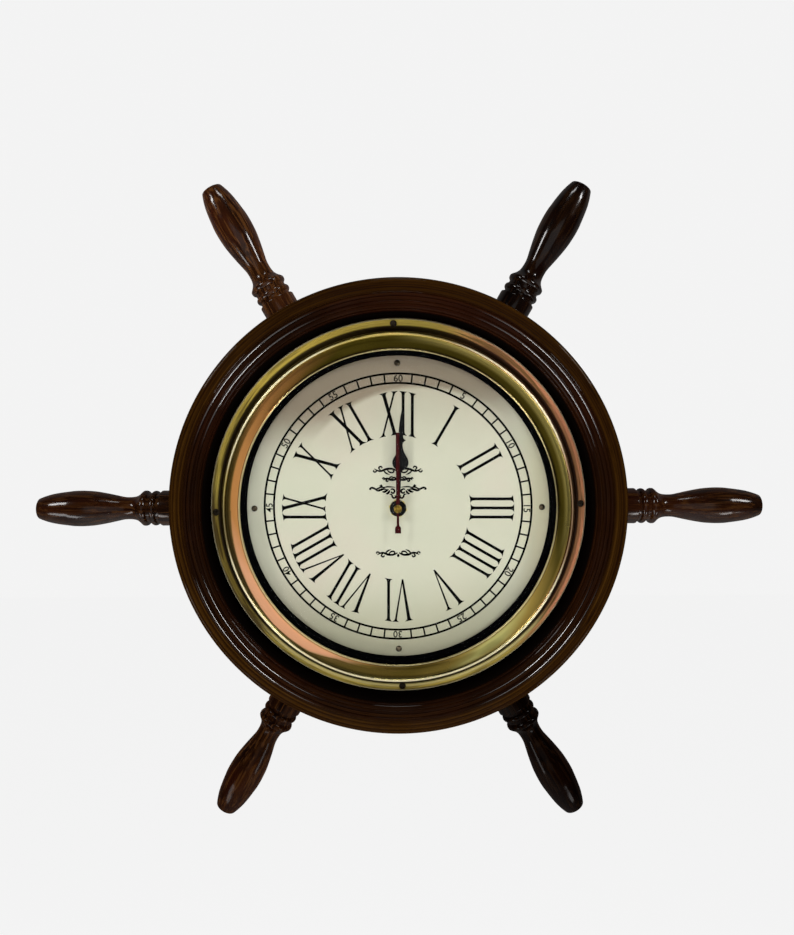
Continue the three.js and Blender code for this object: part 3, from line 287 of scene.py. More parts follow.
def rim_finish(work):
    vector, x, height, radius, depth = work.wheel_spot()
    right, top = x / radius, height / radius
    grain = work.noise(work.joined(right, top, radius * 160), 2.6, 5, 0.6, depth * 160)
    rings = work.noise(work.joined(right * 0.25, top * 0.25, radius * 900), 1, 3, 0.6, depth * 900)
    pores = work.noise(work.joined(right * 9, top * 9, radius * 1100), 1, 2, 0.5, depth * 1100)
    swirl = work.noise(vector, 45, 3)
    inner = stained(work, grain * 0.4 + rings * 0.6, pores, work.noise(vector, 9, 3))
    olive = work.ramp(grain * 0.35 + rings * 0.65, (0.4, WOOD_MIDDLE), (0.52, WOOD_OLIVE), (0.66, WOOD_PALE))
    outer = work.mixed(work.span(pores, 0.58, 0.72) * 0.6, olive, WOOD_DARK)
    # Painted shade: inside 119.4 mm the bore and its arris are near-black, rougher, and carry no varnish.
    bore_shade = work.span(radius, 0.1194, 0.1188)
    flank = work.span(top, -0.2, 0.2, 0.0005, -0.0005)
    # Where the beads' varnish is glossy enough for glints: on the diagonals, not at the top, the bottom or
    # the sides.
    highlight_zone = work.span(top * top, 0.88, 0.66) * work.span(top * top, 0.08, 0.26)
    polished = work.span(radius, 0.1386, 0.1391) * work.span(top, 0.25, 0.5)
    for crown in (BEAD_OUTER, BEAD_INNER):
        away = work.maths("ABSOLUTE", radius - flank - crown * MM)
        polished = work.span(away, 0.00042, 0.00018) * highlight_zone + polished
    return {
        "Base Color": work.layered(inner, (work.span(radius, 0.129, 0.1315, 0, 0.9), outer),
                                   (bore_shade, BORE_SHADE)),
        "Roughness": swirl * 0.12 + bore_shade * 0.3 + 0.34,
        "Specular IOR Level": 0,
        "Coat Weight": (polished * 0.85 + work.span(swirl, 0.3, 0.7, 0.005, 0.02)) * (1.0 - bore_shade),
        "Coat Roughness": 0.06,
        "Coat IOR": 2.8,
        "Normal": work.bump(pores, 0.00002, 0.12, work.bump(rings, 0.00003, 0.12)),
    }


def bead(radius, height, half, rise):
    """A fine turned bead between two cut lines, from its outer foot to its inner one."""
    turns = [math.pi * i / 12 for i in range(13)]
    crown = [(radius + half * math.cos(t), height - rise + rise * math.sin(t)) for t in turns]
    foot = half + 0.25
    return [(radius + foot, height - rise + 0.3)] + crown + [(radius - foot, height - rise + 0.3)]


def nick(radius, height):
    """A fine cut line, as the turning tool leaves it."""
    return [(radius + 0.25, height), (radius, height - 0.04), (radius - 0.25, height + 0.02)]


rim_outline = [
    (REBATE_RADIUS, REBATE_DEPTH), (REBATE_RADIUS, 0.4), (REBATE_RADIUS + 0.4, 0),
    *arc((RIM_RADIUS - 3, 3), 3, -90, 0, 7), (RIM_RADIUS, 12), (RIM_RADIUS, 24),
    *curve([(RIM_RADIUS, 33), (139.45, 35.5), (139.15, 36.9), (138.65, 37.8), (137.9, 38.35),
            (136.9, 38.7)], 3),
    *nick(136.2, 38.78), (135.4, 38.9), *nick(134.6, 39.03), (133.8, 39.15), *nick(132.9, 39.28), (132, 39.4),
    *nick(131.2, 39.52), (130.6, 39.62), *bead(BEAD_OUTER, 40.4, 1.1, 0.9), (127.2, 39.84),
    *nick(126.7, 39.84), (126.2, 39.84), *bead(BEAD_INNER, 40.3, 1.1, 0.9), (122.8, 39.6),
    *nick(122.2, 39.45), (121.5, 39.15), *bead(120, 38.8, 0.6, 0.6), (118.95, 37.9), (118.5, 37.5),
    (117.95, 36.9), (117.5, 36.1), (RIM_BORE, 35), (RIM_BORE, 30), (RIM_BORE, REBATE_DEPTH)]
rim_wood = finish("varnished_rim_wood", rim_finish)
finished("rim", turned(rim_outline, 256), rim_wood, ["wood_rim"], sharp=28)

# Six handles, each turned from its own blank of the same wood, with the grain along it. A tenon goes into
# the rim, the square collar meets it, and a bead and a flange lead to the waist and the bellied grip.
HANDLE_COUNT = 6
HANDLE_HEIGHT = 18.9
STREAK_BROWN = (0.056, 0.023, 0.006)
BLANK_TONES = (0.9, 0.28, 1.9, 0.9, 0.95, 0.16)
BLANK_GLOSS = (0.7, 1, 1, 0.8, 0.15, 0.15)


def settled(thing):
    """The plain mesh that an object's modifiers or text give, in place of the object."""
    bpy.context.view_layer.update()
    mesh = bpy.data.meshes.new_from_object(thing.evaluated_get(bpy.context.evaluated_depsgraph_get()))
    thing.modifiers.clear()
    bpy.data.objects.remove(thing)
    return mesh


def ring_of(name, pattern, count, radius, start, seed, twist=0.0, turn=1.0):
    """One mesh of a shape repeated round the wheel's centre, made by Geometry Nodes."""
    holder = standing(name, pattern)
    tree = bpy.data.node_groups.new(name + "_ring", "GeometryNodeTree")
    face = tree.interface
    face.new_socket("Geometry", in_out="INPUT", socket_type="NodeSocketGeometry")
    face.new_socket("Geometry", in_out="OUTPUT", socket_type="NodeSocketGeometry")
    sizes = {"Count": ("Int", count), "Radius": ("Float", radius * MM), "Seed": ("Int", seed),
             "Start": ("Float", math.radians(start)), "Twist": ("Float", math.radians(twist)),
             "Turn": ("Float", turn), "Material": ("Material", pattern.materials[0])}
    made = {key: face.new_socket(key, in_out="INPUT", socket_type="NodeSocket" + kind)
            for key, (kind, _) in sizes.items()}
    work = Work(tree)
    entry = work.node("NodeGroupInput").socket.node
    given = {socket.name: Wire(work, socket) for socket in entry.outputs if socket.name}
    index = work.node("GeometryNodeInputIndex")
    angle = index * math.tau / given["Count"] + given["Start"]
    across, up = [given["Radius"] * work.maths(kind, angle) for kind in ("COSINE", "SINE")]
    centre = place(0, 0, 0)
    spots = work.node("GeometryNodePoints", (), {
        "Count": given["Count"], "Position": work.joined(across + centre.x, 0, up + centre.z)})
    chance = work.node("FunctionNodeRandomValue", {"data_type": "FLOAT"},
                       {"Min": -1, "Max": 1, "ID": index, "Seed": given["Seed"]}, output=1)
    way = work.joined(0, chance * given["Twist"] - angle * given["Turn"], 0)
    copies = work.node("GeometryNodeInstanceOnPoints", (),
                       {"Points": spots, "Instance": given["Geometry"], "Rotation": way})
    marked = work.node("GeometryNodeStoreNamedAttribute", {"data_type": "FLOAT", "domain": "INSTANCE"},
                       {"Geometry": copies, "Name": "which", "Value": index * 1.0})
    real = work.node("GeometryNodeRealizeInstances", (), {"Geometry": marked})
    coated = work.node("GeometryNodeSetMaterial", (), {"Geometry": real, "Material": given["Material"]})
    work.node("NodeGroupOutput", (), {0: coated})
    modifier = holder.modifiers.new("ring", "NODES")
    modifier.node_group = tree
    for key, socket in made.items():
        modifier[socket.identifier] = sizes[key][1]
    holder.update_tag()
    return settled(holder)


def raised(mesh, height):
    for v in mesh.vertices:
        v.co.y -= height * MM
    return mesh


def numbered(node, count):
    return [f"{node}_{i + 1}" for i in range(count)]


def handle_finish(work):
    along = work.node("ShaderNodeAttribute", {"attribute_name": "blank"}, output="Vector")
    which = work.node("ShaderNodeAttribute", {"attribute_name": "which"}, output="Fac")
    length, across, deep = work.parts(along)

    def fibres(pace, offset, fineness, *detail):
        """Noise drawn out along the blank, different in each one."""
        return work.noise(work.joined(length * pace + which * offset, across * fineness, deep * fineness),
                          1, *detail)

    def by_blank(values, tint=(1, 1, 1)):
        """A tone for each handle, in their order round the rim."""
        last = len(values) - 1
        tones = [[value * t for t in tint] for value in values]
        return work.ramp(which / last, *[(i / last, tone) for i, tone in enumerate(tones)])

    blank = work.joined(length * 14 + which * 3.7, across * 260 + which * 5.1, deep * 260)
    grain = work.noise(blank, 1, 5, 0.62, distortion=0.4)
    stain_and_painted_shade = stained(work, grain, fibres(90, 7.3, 1900, 2, 0.5), fibres(20, 2.2, 40, 3))
    streaked = work.mixed(work.span(fibres(30, 4.1, 620, 3), 0.5, 0.62) * 0.75, stain_and_painted_shade, STREAK_BROWN)
    swirl = work.noise(along, 70, 3)
    return {
        "Base Color": work.mixed(1, streaked, by_blank(BLANK_TONES, (1, 0.9, 0.86)), "MULTIPLY"),
        "Roughness": swirl * 0.12 + 0.3,
        "Specular IOR Level": 0,
        "Coat Weight": work.span(swirl, 0.3, 0.7, 0.5, 0.75) * by_blank(BLANK_GLOSS),
        "Coat Roughness": 0.14,
        "Normal": work.bump(grain, 0.0002, 0.12, work.bump(work.noise(along, 560, 3), 0.00012, 0.42)),
    }


handle_profile = [
    (10.6, 138.7), (11.05, 139.3), *arc((10.4, 148.1), 0.7, 0, 80, 4), (9.7, 149), (9.6, 149.5),
    *arc((8.9, 152.8), 2.1, -70, 70, 9), (9.6, 156.1), (9.6, 156.6), (10.2, 157.2), (10.9, 157.9),
    (11.15, 158.7), (11.1, 159.8), (10.6, 160.5),
    *curve([(10.6, 160.5), (8.9, 162.4), (7.65, 164.6), (7.12, 167.2), (7, 170), (7.2, 173), (8, 176.8),
            (9.1, 181.8), (10.06, 186.8), (10.85, 191.9), (11.2, 196.9), (11.28, 200.2), (11.15, 204.4),
            (10.8, 207.4), (10.25, 211.9), (9.44, 216.9), (8.85, 219.4), (8.1, 222), (7.25, 224.4),
            (6.65, 225.9)], 3)[1:],
    (6.55, 226.05), (6.35, 226.15), (4.5, 226.6), (2.2, 226.92), (0, 227), (0, 138.7)]
handle_mesh = turned(handle_profile[::-1], 64, lambda x, y, height: Vector((height, x, y)) * MM)
handle_wood = finish("varnished_handle_wood", handle_finish)
handle_mesh.materials.append(handle_wood)
blank = handle_mesh.attributes.new("blank", "FLOAT_VECTOR", "POINT")
for vertex, value in zip(handle_mesh.vertices, blank.data):
    value.vector = vertex.co
handles = ring_of("handles", raised(handle_mesh, HANDLE_HEIGHT), HANDLE_COUNT, 0, 0, 3)
finished("handles", handles, handle_wood, numbered("handle", HANDLE_COUNT))

# The back board is a disc of medium fibreboard in the rebate, sawn out for the movement, with six
# countersunk screws into the rim. It carries the hanger.
BOARD_BACK = 0.4
BOARD_SCREW_CIRCLE = 121.5


def board_finish(work):
    vector = work.spot()
    fibre = work.noise(vector, 900, 3, 0.7)
    patch = work.noise(vector, 14, 4)
    fleck = work.noise(vector, 2600, 1)
    base = work.ramp(fibre * 0.6 + patch * 0.4, (0.3, (0.13, 0.075, 0.038)), (0.7, (0.27, 0.17, 0.095)))
    return {
        "Base Color": work.mixed(work.span(fleck, 0.62, 0.7) * 0.5, base, (0.06, 0.035, 0.02)),
        "Roughness": fibre * 0.15 + 0.75,
        "Normal": work.bump(fibre, 0.0002, 0.4),
    }


def dressed(material, *nodes):
    """Gives pieces of the frame their finish, on every slot of each object."""
    for node in nodes:
        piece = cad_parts[node]
        if not piece.material_slots:
            piece.data.materials.append(material)
        for slot in piece.material_slots:
            slot.material = material


def steel_finish(work):
    vector = work.spot()
    grime = work.noise(vector, 160, 4)
    lines = work.noise(work.node("ShaderNodeVectorMath", {"operation": "MULTIPLY"},
                                 {0: vector, 1: (900, 900, 90)}), 1, 2)
    return {
        "Base Color": work.ramp(grime, (0.3, (0.3, 0.29, 0.27)), (0.7, (0.52, 0.51, 0.49))),
        "Metallic": 1,
        "Roughness": grime * 0.25 + 0.25,
        "Normal": work.bump(lines, 0.00003, 0.4),
    }


zinc_steel = finish("zinc_plated_steel", steel_finish)
dressed(finish("raw_fibreboard", board_finish), "back_board")
dressed(zinc_steel, "hanger_plate")


def on_axis(x, y, height):
    """A point of a screw about its own axis, its height out from the face of the clock."""
    return Vector((x, -height, y)) * MM


def slotted_head(radius, shank, length, dome, slot_width, slot_depth, crossed=False):
    """A slotted screw that points into the wheel, its head's edge at the origin of its axis."""
    outline = [(0, 0), (radius, 0), (shank, shank - radius)]
    if dome:
        outline = [(0, dome)] + [(radius * math.sin(a), dome * math.cos(a)) for a in
                                 [math.pi / 2 * i / 5 for i in range(1, 6)]]
        outline += [(radius - 0.05, -0.25), (shank, -0.3)]
    far, near = (0.6 if crossed else 1.2) * radius, slot_width / 2
    arm = [(far, -near), (far, near), (near, near)][:3 if crossed else 2]
    turns = ((1, 0), (0, 1), (-1, 0), (0, -1))[::1 if crossed else 2]
    slot = [(x * c - y * s, x * s + y * c) for c, s in turns for x, y in arm]
    cutter = bmesh.new()
    capped(cutter, [[cutter.verts.new(on_axis(x, y, dome + side * slot_depth)) for x, y in slot]
                    for side in (-1, 1)])
    return carved(turned(outline + [(shank, 1.6 - length), (0, -length)], 24, on_axis), as_mesh(cutter))


def carved(mesh, tool, operation="DIFFERENCE"):
    """A mesh with another one cut out of it."""
    body, knife = standing("carved", mesh), standing("knife", tool)
    cut = body.modifiers.new("cut", "BOOLEAN")
    cut.operation = operation
    cut.solver = "EXACT"
    cut.object = knife
    result = settled(body)
    bpy.data.objects.remove(knife)
    return result


def facing_back(mesh, height):
    """Turns a screw so that its head faces the wall, at that height."""
    for v in mesh.vertices:
        v.co = Vector((v.co.x, -v.co.y - height * MM, -v.co.z))
    return mesh


def ring_of_screws(name, screw, count, radius, start, seed, material):
    """Like screws round the wheel, each slot turned by chance, in place of their nodes."""
    screw.materials.append(material)
    screws = ring_of(name, screw, count, radius, start, seed, 90, 0.0)
    finished(name, screws, material, numbered(name[:-1], count))


board_screw = facing_back(slotted_head(3.3, 1.75, 33, 0, 0.8, 1), BOARD_BACK)
ring_of_screws("board_screws", board_screw, 6, BOARD_SCREW_CIRCLE, 30, 7, zinc_steel)
for i, node in enumerate(numbered("hanger_screw", 2)):
    hanger_screw = facing_back(slotted_head(2.6, 1.5, 12, 0, 0.7, 0.8), BOARD_BACK)
    low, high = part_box(node)
    middle = (Vector(low) + Vector(high)) / 2
    for v in hanger_screw.vertices:
        v.co += Vector((middle.x, 0, middle.z))
    finished(f"hanger_slot_screw_{i + 1}", hanger_screw, zinc_steel, [node])

# The dial is a sheet of aluminium with cream lacquer and black printing: a minute track of two circles
# with figures at every five, upright Roman hours and a scroll. Four small brass screws hold it.
DIAL_BACK = 22.7
DIAL_FRONT = 23.7
DIAL_RADIUS = 106.4
DIAL_SCREW_CIRCLE = 89.7
PRINT = 0.04
PRINT_FOOT = -0.02


def dial_finish(work):
    vector, x, height, radius, _ = work.wheel_spot()
    paper = work.noise(vector, 900, 2)
    patch = work.noise(vector, 11, 4, 0.6)
    base = work.ramp(patch, (0.32, (0.665, 0.65, 0.5)), (0.5, (0.69, 0.66, 0.515)),
                     (0.68, (0.715, 0.635, 0.515)))
    # Painted shade on the dial: darker towards the bottom and towards the upper left, and a painted shadow
    # over the top, outside a circle set off the centre.
    shade_towards_bottom = work.span(height * -1, 0.025, 0.085)
    outside = ((x - 0.0138) ** 2 + (height + 0.0078) ** 2) ** 0.5
    upper_left_shade = height - x * 0.12 + patch * 0.02
    stain_and_painted_shade = work.span(outside, 0.0805, 0.085) * work.span(upper_left_shade, 0.052, 0.084)
    return {
        # Over the lacquer's tone: painted shade towards the edge, most at the bottom; painted shade at the
        # upper left; the painted shadow at the top; painted light, lighter and yellower, at the right edge;
        # then the paper's flecks.
        "Base Color": work.layered(
            base,
            (work.span(radius, 0.01, 0.094) * (shade_towards_bottom * 0.8 + 0.04), (0.4, 0.37, 0.245)),
            (work.span(upper_left_shade, 0.03, 0.092) * 0.45, (0.3, 0.225, 0.15)),
            (stain_and_painted_shade * 0.86, (0.205, 0.145, 0.09)),
            (work.span(x, 0.07, 0.092) * 0.45, (0.66, 0.56, 0.3)),
            (work.span(paper, 0.35, 0.75) * 0.1, (0.48, 0.46, 0.32))),
        "Roughness": patch * 0.1 + 0.42,
        "Specular IOR Level": 0.4,
        "Normal": work.bump(paper, 0.00002, 0.25),
    }


def grained(name, grain, dark, light, rough, relief=(), others=()):
    """A finish with one fine grain in its tone, its roughness and, if it has one, its relief."""
    def build(work):
        noise = work.noise(work.spot(), *grain)
        sockets = {"Base Color": work.ramp(noise, dark, light), "Roughness": noise * rough[0] + rough[1]}
        if relief:
            sockets["Normal"] = work.bump(noise, *relief)
        return {**sockets, **dict(others)}
    return finish(name, build)


cream = finish("cream_dial_lacquer", dial_finish)
ink = grained("black_dial_print", (500, 3), (0.3, (0.001, 0.0009, 0.001)),
              (0.8, (0.0034, 0.003, 0.003)), (0.2, 0.4), others={"Specular IOR Level": 0.02})
dial_outline = [(4.3, DIAL_BACK), (DIAL_RADIUS, DIAL_BACK), (DIAL_RADIUS, DIAL_FRONT - 0.15),
                (DIAL_RADIUS - 0.15, DIAL_FRONT), (4.4, DIAL_FRONT), (4.3, DIAL_FRONT - 0.1)]
finished("dial", turned(dial_outline, 192), cream, ["dial_plate"])

TRACK_OUTER = 83.3
TRACK_INNER = 77.5
TRACK_LINE = 1.3
TICK_LINE = 1.02
ROMAN_INNER = 45.3
ROMAN_OUTER = 72.6
PRINT_TURN = 0.4


def printed(shape, corners, level=PRINT):
    """Adds one flat printed form on the dial, from its outline in millimetres."""
    capped(shape, [[shape.verts.new(place(x, y, DIAL_FRONT + h)) for x, y in corners]
                   for h in (PRINT_FOOT, level)])


def outwards(x, y, clock_angle):
    """Turns a point drawn at twelve o'clock to another hour, angles clockwise in degrees."""
    a = math.radians(clock_angle + PRINT_TURN)
    return (x * math.cos(a) + y * math.sin(a), -x * math.sin(a) + y * math.cos(a))


track = bmesh.new()
for radius in (TRACK_OUTER, TRACK_INNER):
    near, far = radius - TRACK_LINE / 2, radius + TRACK_LINE / 2
    foot, top = DIAL_FRONT + PRINT_FOOT, DIAL_FRONT + PRINT
    turning(track, [(near, foot), (far, foot), (far, top), (near, top)], 256)
for minute in range(60):
    if minute % 5:
        half, low, high = TICK_LINE / 2, TRACK_INNER + 0.2, TRACK_OUTER - 0.2
        ends = (-half, low), (half, low), (half, high), (-half, high)
        printed(track, [outwards(x, y, minute * 6) for x, y in ends], PRINT * 0.8)
finished("minute_track", as_mesh(track), ink)

STEM_HALF = 0.9
HAIR_HALF = 0.6
DIAGONAL_HALF = 1.02
SERIF = [(1.5, 0), (1.46, 0.16), (1.04, 0.45), (0.59, 0.8), (0.24, 1.3), (0.04, 2), (0, 2.6)]
HOLLOW = 0.14
ROMAN_WARP = 0.015


def stroke(foot, head, half, serif):
    """One upright or leaning stroke between the two radii, its ends flared into bracketed serifs."""
    height = ROMAN_OUTER - ROMAN_INNER
    lean = (head - foot) / height
    side = [(half + reach, y) for reach, y in SERIF] if serif else [(half * 0.55, 0)]
    side += [(half + reach, height - y) for reach, y in reversed(SERIF)]
    right, left = [[(foot + lean * y + sign * x, ROMAN_INNER + y) for x, y in side] for sign in (1, -1)]
    outline = right + [(head, ROMAN_OUTER - HOLLOW)] + left[::-1]
    if serif:
        outline.append((foot, ROMAN_INNER + HOLLOW))
    return [(x, y - ROMAN_WARP * x * x) for x, y in outline]


HOURS = ["XII", "I", "II", "III", "IIII", "V", "VI", "VII", "VIII", "IX", "X", "XI"]
# Each letter's width and strokes: foot, head, half as wide, with a serif at the foot or not, how thick.
LETTERS = {
    "I": (5.7, [(0, 0, STEM_HALF, True, PRINT)]),
    "V": (11.7, [(0, -4.35, DIAGONAL_HALF, False, PRINT), (0, 4.35, HAIR_HALF, False, PRINT * 0.9)]),
    "X": (11.9, [(3.85, -3.5, DIAGONAL_HALF, True, PRINT), (-3.85, 3.5, HAIR_HALF, True, PRINT * 0.9)]),
}


def hour_strokes(figure):
    """The strokes of one Roman hour, centred on its own middle."""
    at = -sum(LETTERS[letter][0] for letter in figure) / 2
    for letter in figure:
        width, strokes = LETTERS[letter]
        for foot, head, half, serif, level in strokes:
            yield stroke(at + width / 2 + foot, at + width / 2 + head, half, serif), level
        at += width


numerals = bmesh.new()
for hour, figure in enumerate(HOURS):
    for corners, level in hour_strokes(figure):
        printed(numerals, [outwards(x, y, hour * 30) for x, y in corners], level)
finished("roman_hours", as_mesh(numerals), ink)

FIGURE_SIZE = 5.9
FIGURE_MIDDLE = (TRACK_OUTER + TRACK_INNER) / 2


def figure_mesh(words, clock_angle):
    """The digits of one five-minute figure, as a thin print at its place."""
    text = bpy.data.curves.new("figure", "FONT")
    text.body = words
    text.size = FIGURE_SIZE
    text.align_x = "CENTER"
    text.align_y = "CENTER"
    text.extrude = 0.03
    text.offset = 0.08
    text.resolution_u = 4
    mesh = settled(standing("figure", text))
    low = min(v.co.y for v in mesh.vertices)
    high = max(v.co.y for v in mesh.vertices)
    for v in mesh.vertices:
        x, y = outwards(v.co.x, v.co.y - (low + high) / 2 + FIGURE_MIDDLE, clock_angle)
        v.co = place(x, y, DIAL_FRONT + 0.01 + v.co.z)
    return mesh


figures = bmesh.new()
for five in range(1, 13):
    figures.from_mesh(figure_mesh(str(five * 5), five * 30))
finished("minute_figures", as_mesh(figures), ink)


def ribbon(shape, points):
    """A brushed line through (x, y, half its width) points."""
    line = curve(points, 6)
    rows = []
    for i, (x, y, half) in enumerate(line):
        before = Vector(line[max(i - 1, 0)][:2])
        after = Vector(line[min(i + 1, len(line) - 1)][:2])
        way = (after - before).normalized()
        across = Vector((-way.y, way.x)) * max(half, 0.08)
        left, right = Vector((x, y)) + across, Vector((x, y)) - across
        corners = (left, PRINT_FOOT), (right, PRINT_FOOT), (right, PRINT), (left, PRINT)
        rows.append([shape.verts.new(place(p.x, p.y, DIAL_FRONT + h)) for p, h in corners])
    capped(shape, rows)


def brushed(shape, strokes, brush=1, size=1, middle=0, flip=1):
    """Strokes of an ornament, each with its mirror image."""
    for points in strokes:
        for side in (1, -1):
            ribbon(shape, [(side * size * x, middle + flip * size * y, half * brush)
                           for x, y, half in points])


def plain_scroll(shape, middle, size, flip):
    """A plain scroll with five curls a side and a drop in its middle."""
    brushed(shape, SCROLL, 1, size, middle, flip)
    turns = [math.tau * i / 14 for i in range(14)]
    printed(shape, [(0.9 * size * math.cos(a), middle + flip * size * (1.7 + 1.2 * math.sin(a)))
                    for a in turns])


CREST_BRUSH = 1.2
CREST = (  # over the centre: two leafy arms, each with a ball, and curls that run down to the hub
    ((16.5, 11.3, 0.15), (17.5, 11.8, 0.42), (16.4, 12.6, 0.52), (15, 12.3, 0.55), (13.6, 11.7, 0.45),
     (12.2, 12.2, 0.42), (10.8, 12.9, 0.42), (8.6, 12.8, 0.32), (6.6, 13.2, 0.38), (4.2, 13.1, 0.32),
     (1.6, 12.9, 0.15)),
    ((13.9, 11.2, 0.2), (12.3, 10.8, 0.5), (10.6, 11.3, 0.62), (8.8, 11.8, 0.5), (7, 11.6, 0.2)),
    ((10.9, 14.4, 0.6), (10.5, 13.9, 0.65), (9.4, 13.2, 0.25)),
    ((9.9, 10.1, 0.12), (8.6, 10, 0.55), (7.2, 10.7, 0.58), (5.8, 11.6, 0.25)),
    ((7.6, 8.9, 0.12), (6.5, 9, 0.55), (5.6, 9.9, 0.55), (5, 11, 0.25)),
    ((4.5, 11.4, 0.25), (3.6, 11.8, 0.42), (2.4, 11.3, 0.48), (2.1, 10.2, 0.48), (2.8, 9.3, 0.48),
     (3.9, 9.5, 0.42), (4, 10.3, 0.25)),
    ((5.3, 8.4, 0.12), (4.4, 8.5, 0.35), (3.7, 7.9, 0.42), (3.5, 7, 0.48), (2.7, 6.2, 0.5),
     (1.6, 6.4, 0.45), (1.4, 7.3, 0.38), (2.1, 7.6, 0.2)),
)
SCROLL = (
    ((0.5, -0.3, 0.35), (3.4, 1.1, 0.6), (7, 1, 0.72), (10.6, -0.3, 0.6), (13.2, 0.3, 0.45),
     (14.6, 1.3, 0.2)),
    ((12.6, 0.1, 0.35), (14.2, -0.9, 0.5), (15.2, -0.2, 0.4), (14.7, 0.4, 0.15)),
    ((10.4, -0.2, 0.3), (11.8, 1.7, 0.5), (10.6, 2.6, 0.5), (9.7, 1.9, 0.35), (10.3, 1.4, 0.15)),
    ((6.8, 0.9, 0.25), (5.2, -0.9, 0.5), (3.2, -1.2, 0.52), (2.4, -0.3, 0.4), (3.3, 0.2, 0.15)),
    ((9, 0.3, 0.25), (7.4, -1.5, 0.52), (5, -2.6, 0.12)),
)

ornament = bmesh.new()
brushed(ornament, CREST, CREST_BRUSH)
plain_scroll(ornament, 23.3, 1, 1)
plain_scroll(ornament, 18.2, 0.62, -1)
plain_scroll(ornament, -28.6, 0.9, -1)
finished("scroll_ornament", as_mesh(ornament), ink)

# A dark brass for the small screws, the washer and the cannon pinion.
screw_brass = grained("dark_screw_brass", (420, 4), (0.34, (0.016, 0.012, 0.008)),
                      (0.7, (0.11, 0.084, 0.056)), (0.25, 0.25), (0.00004, 0.4), {"Metallic": 1.0})
dial_screw = raised(slotted_head(1.95, 1.1, 11, 1.15, 0.5, 0.55), DIAL_FRONT + 0.15)
ring_of_screws("dial_screws", dial_screw, 4, DIAL_SCREW_CIRCLE, 90, 11, screw_brass)

# A black spacer ring of moulded plastic stands on the dial and carries the flat pane of glass, which the
# bezel's lip holds down from the front.
SPACER_INSIDE = 94.2
GLASS_BACK = 31.4
GLASS_FRONT = 33.2

matt_black = grained("matt_black_spacer", (1500, 2), (0.3, (0.001, 0.001, 0.0013)),
                     (0.7, (0.0018, 0.0018, 0.0022)), (0.2, 0.6), (0.00002, 0.15),
                     {"Specular IOR Level": 0.0})
spacer_outline = [(SPACER_INSIDE, 24.2), (SPACER_INSIDE + 0.2, 24), (105.8, 24), (105.8, 31.1),
                  (SPACER_INSIDE + 0.2, 31.1), (SPACER_INSIDE, 30.9)]
finished("spacer", turned(spacer_outline, 192), matt_black, ["spacer_ring"])


def clear_pane(work):
    """Clear glass that lets lamplight through: a Principled pane, transparent to shadow rays."""
    smear = work.noise(work.spot(), 22, 4, 0.65)
    pane = work.node("ShaderNodeBsdfPrincipled", (), {
        "Base Color": work.ramp(smear, (0.3, (0.96, 0.985, 0.975)), (0.7, (0.985, 0.995, 0.99))),
        "Roughness": work.span(smear, 0.45, 0.75, 0, 0.03),
        "IOR": 1.05,
        "Transmission Weight": 1,
    })
    through = work.node("ShaderNodeBsdfTransparent", (), {0: (0.97, 0.98, 0.975, 1)})
    either = work.maths("MAXIMUM", *work.rays("Shadow", "Diffuse"))
    return work.node("ShaderNodeMixShader", (), {0: either, 1: pane, 2: through})


glass_outline = [(0, GLASS_BACK), (106.2, GLASS_BACK), (106.5, GLASS_BACK + 0.3), (106.5, GLASS_FRONT - 0.3),
                 (106.2, GLASS_FRONT), (0, GLASS_FRONT)]
finished("front_glass", turned(glass_outline, 192),
         made_of("clear_glass", clear_pane), ["glass"])

# The bezel is spun from one brass sheet: a crowned flange with a nicked edge, a flat groove, a steep wall
# to a round ridge, and a cove that runs down to the lip. It is polished, and dull in the groove. Its colour
# holds painted light: painted highlights on the flange's edge, the ridge and the lip, painted reflections
# and shade round the ring, and painted shade on the wall, in the groove and at the lip's step.
BEZEL_RADIUS = 116.9
BEZEL_BACK = 22.7
COPPER = (0.58, 0.26, 0.075)
ROSE = (0.87, 0.44, 0.235)
BROWN_GOLD = (0.2, 0.13, 0.028)
WARM_GOLD = (0.42, 0.29, 0.065)
PALE_GOLD = (0.62, 0.58, 0.2)
OLIVE_GOLD = (0.078, 0.058, 0.007)
# A pale cream for painted highlights, on the flange's outer edge and along the ridge.
PAINTED_HIGHLIGHT = (0.96, 0.86, 0.56)
BEZEL_SCREW_CIRCLE = 113.72
BEZEL_SCREW_START = 91.1
BLUSH_EDGE = ((0, 0.47), (0.056, 0.56), (0.117, 0.7), (0.16, 0.64), (0.188, 0.3), (0.8, 0.36), (0.92, 0.5))


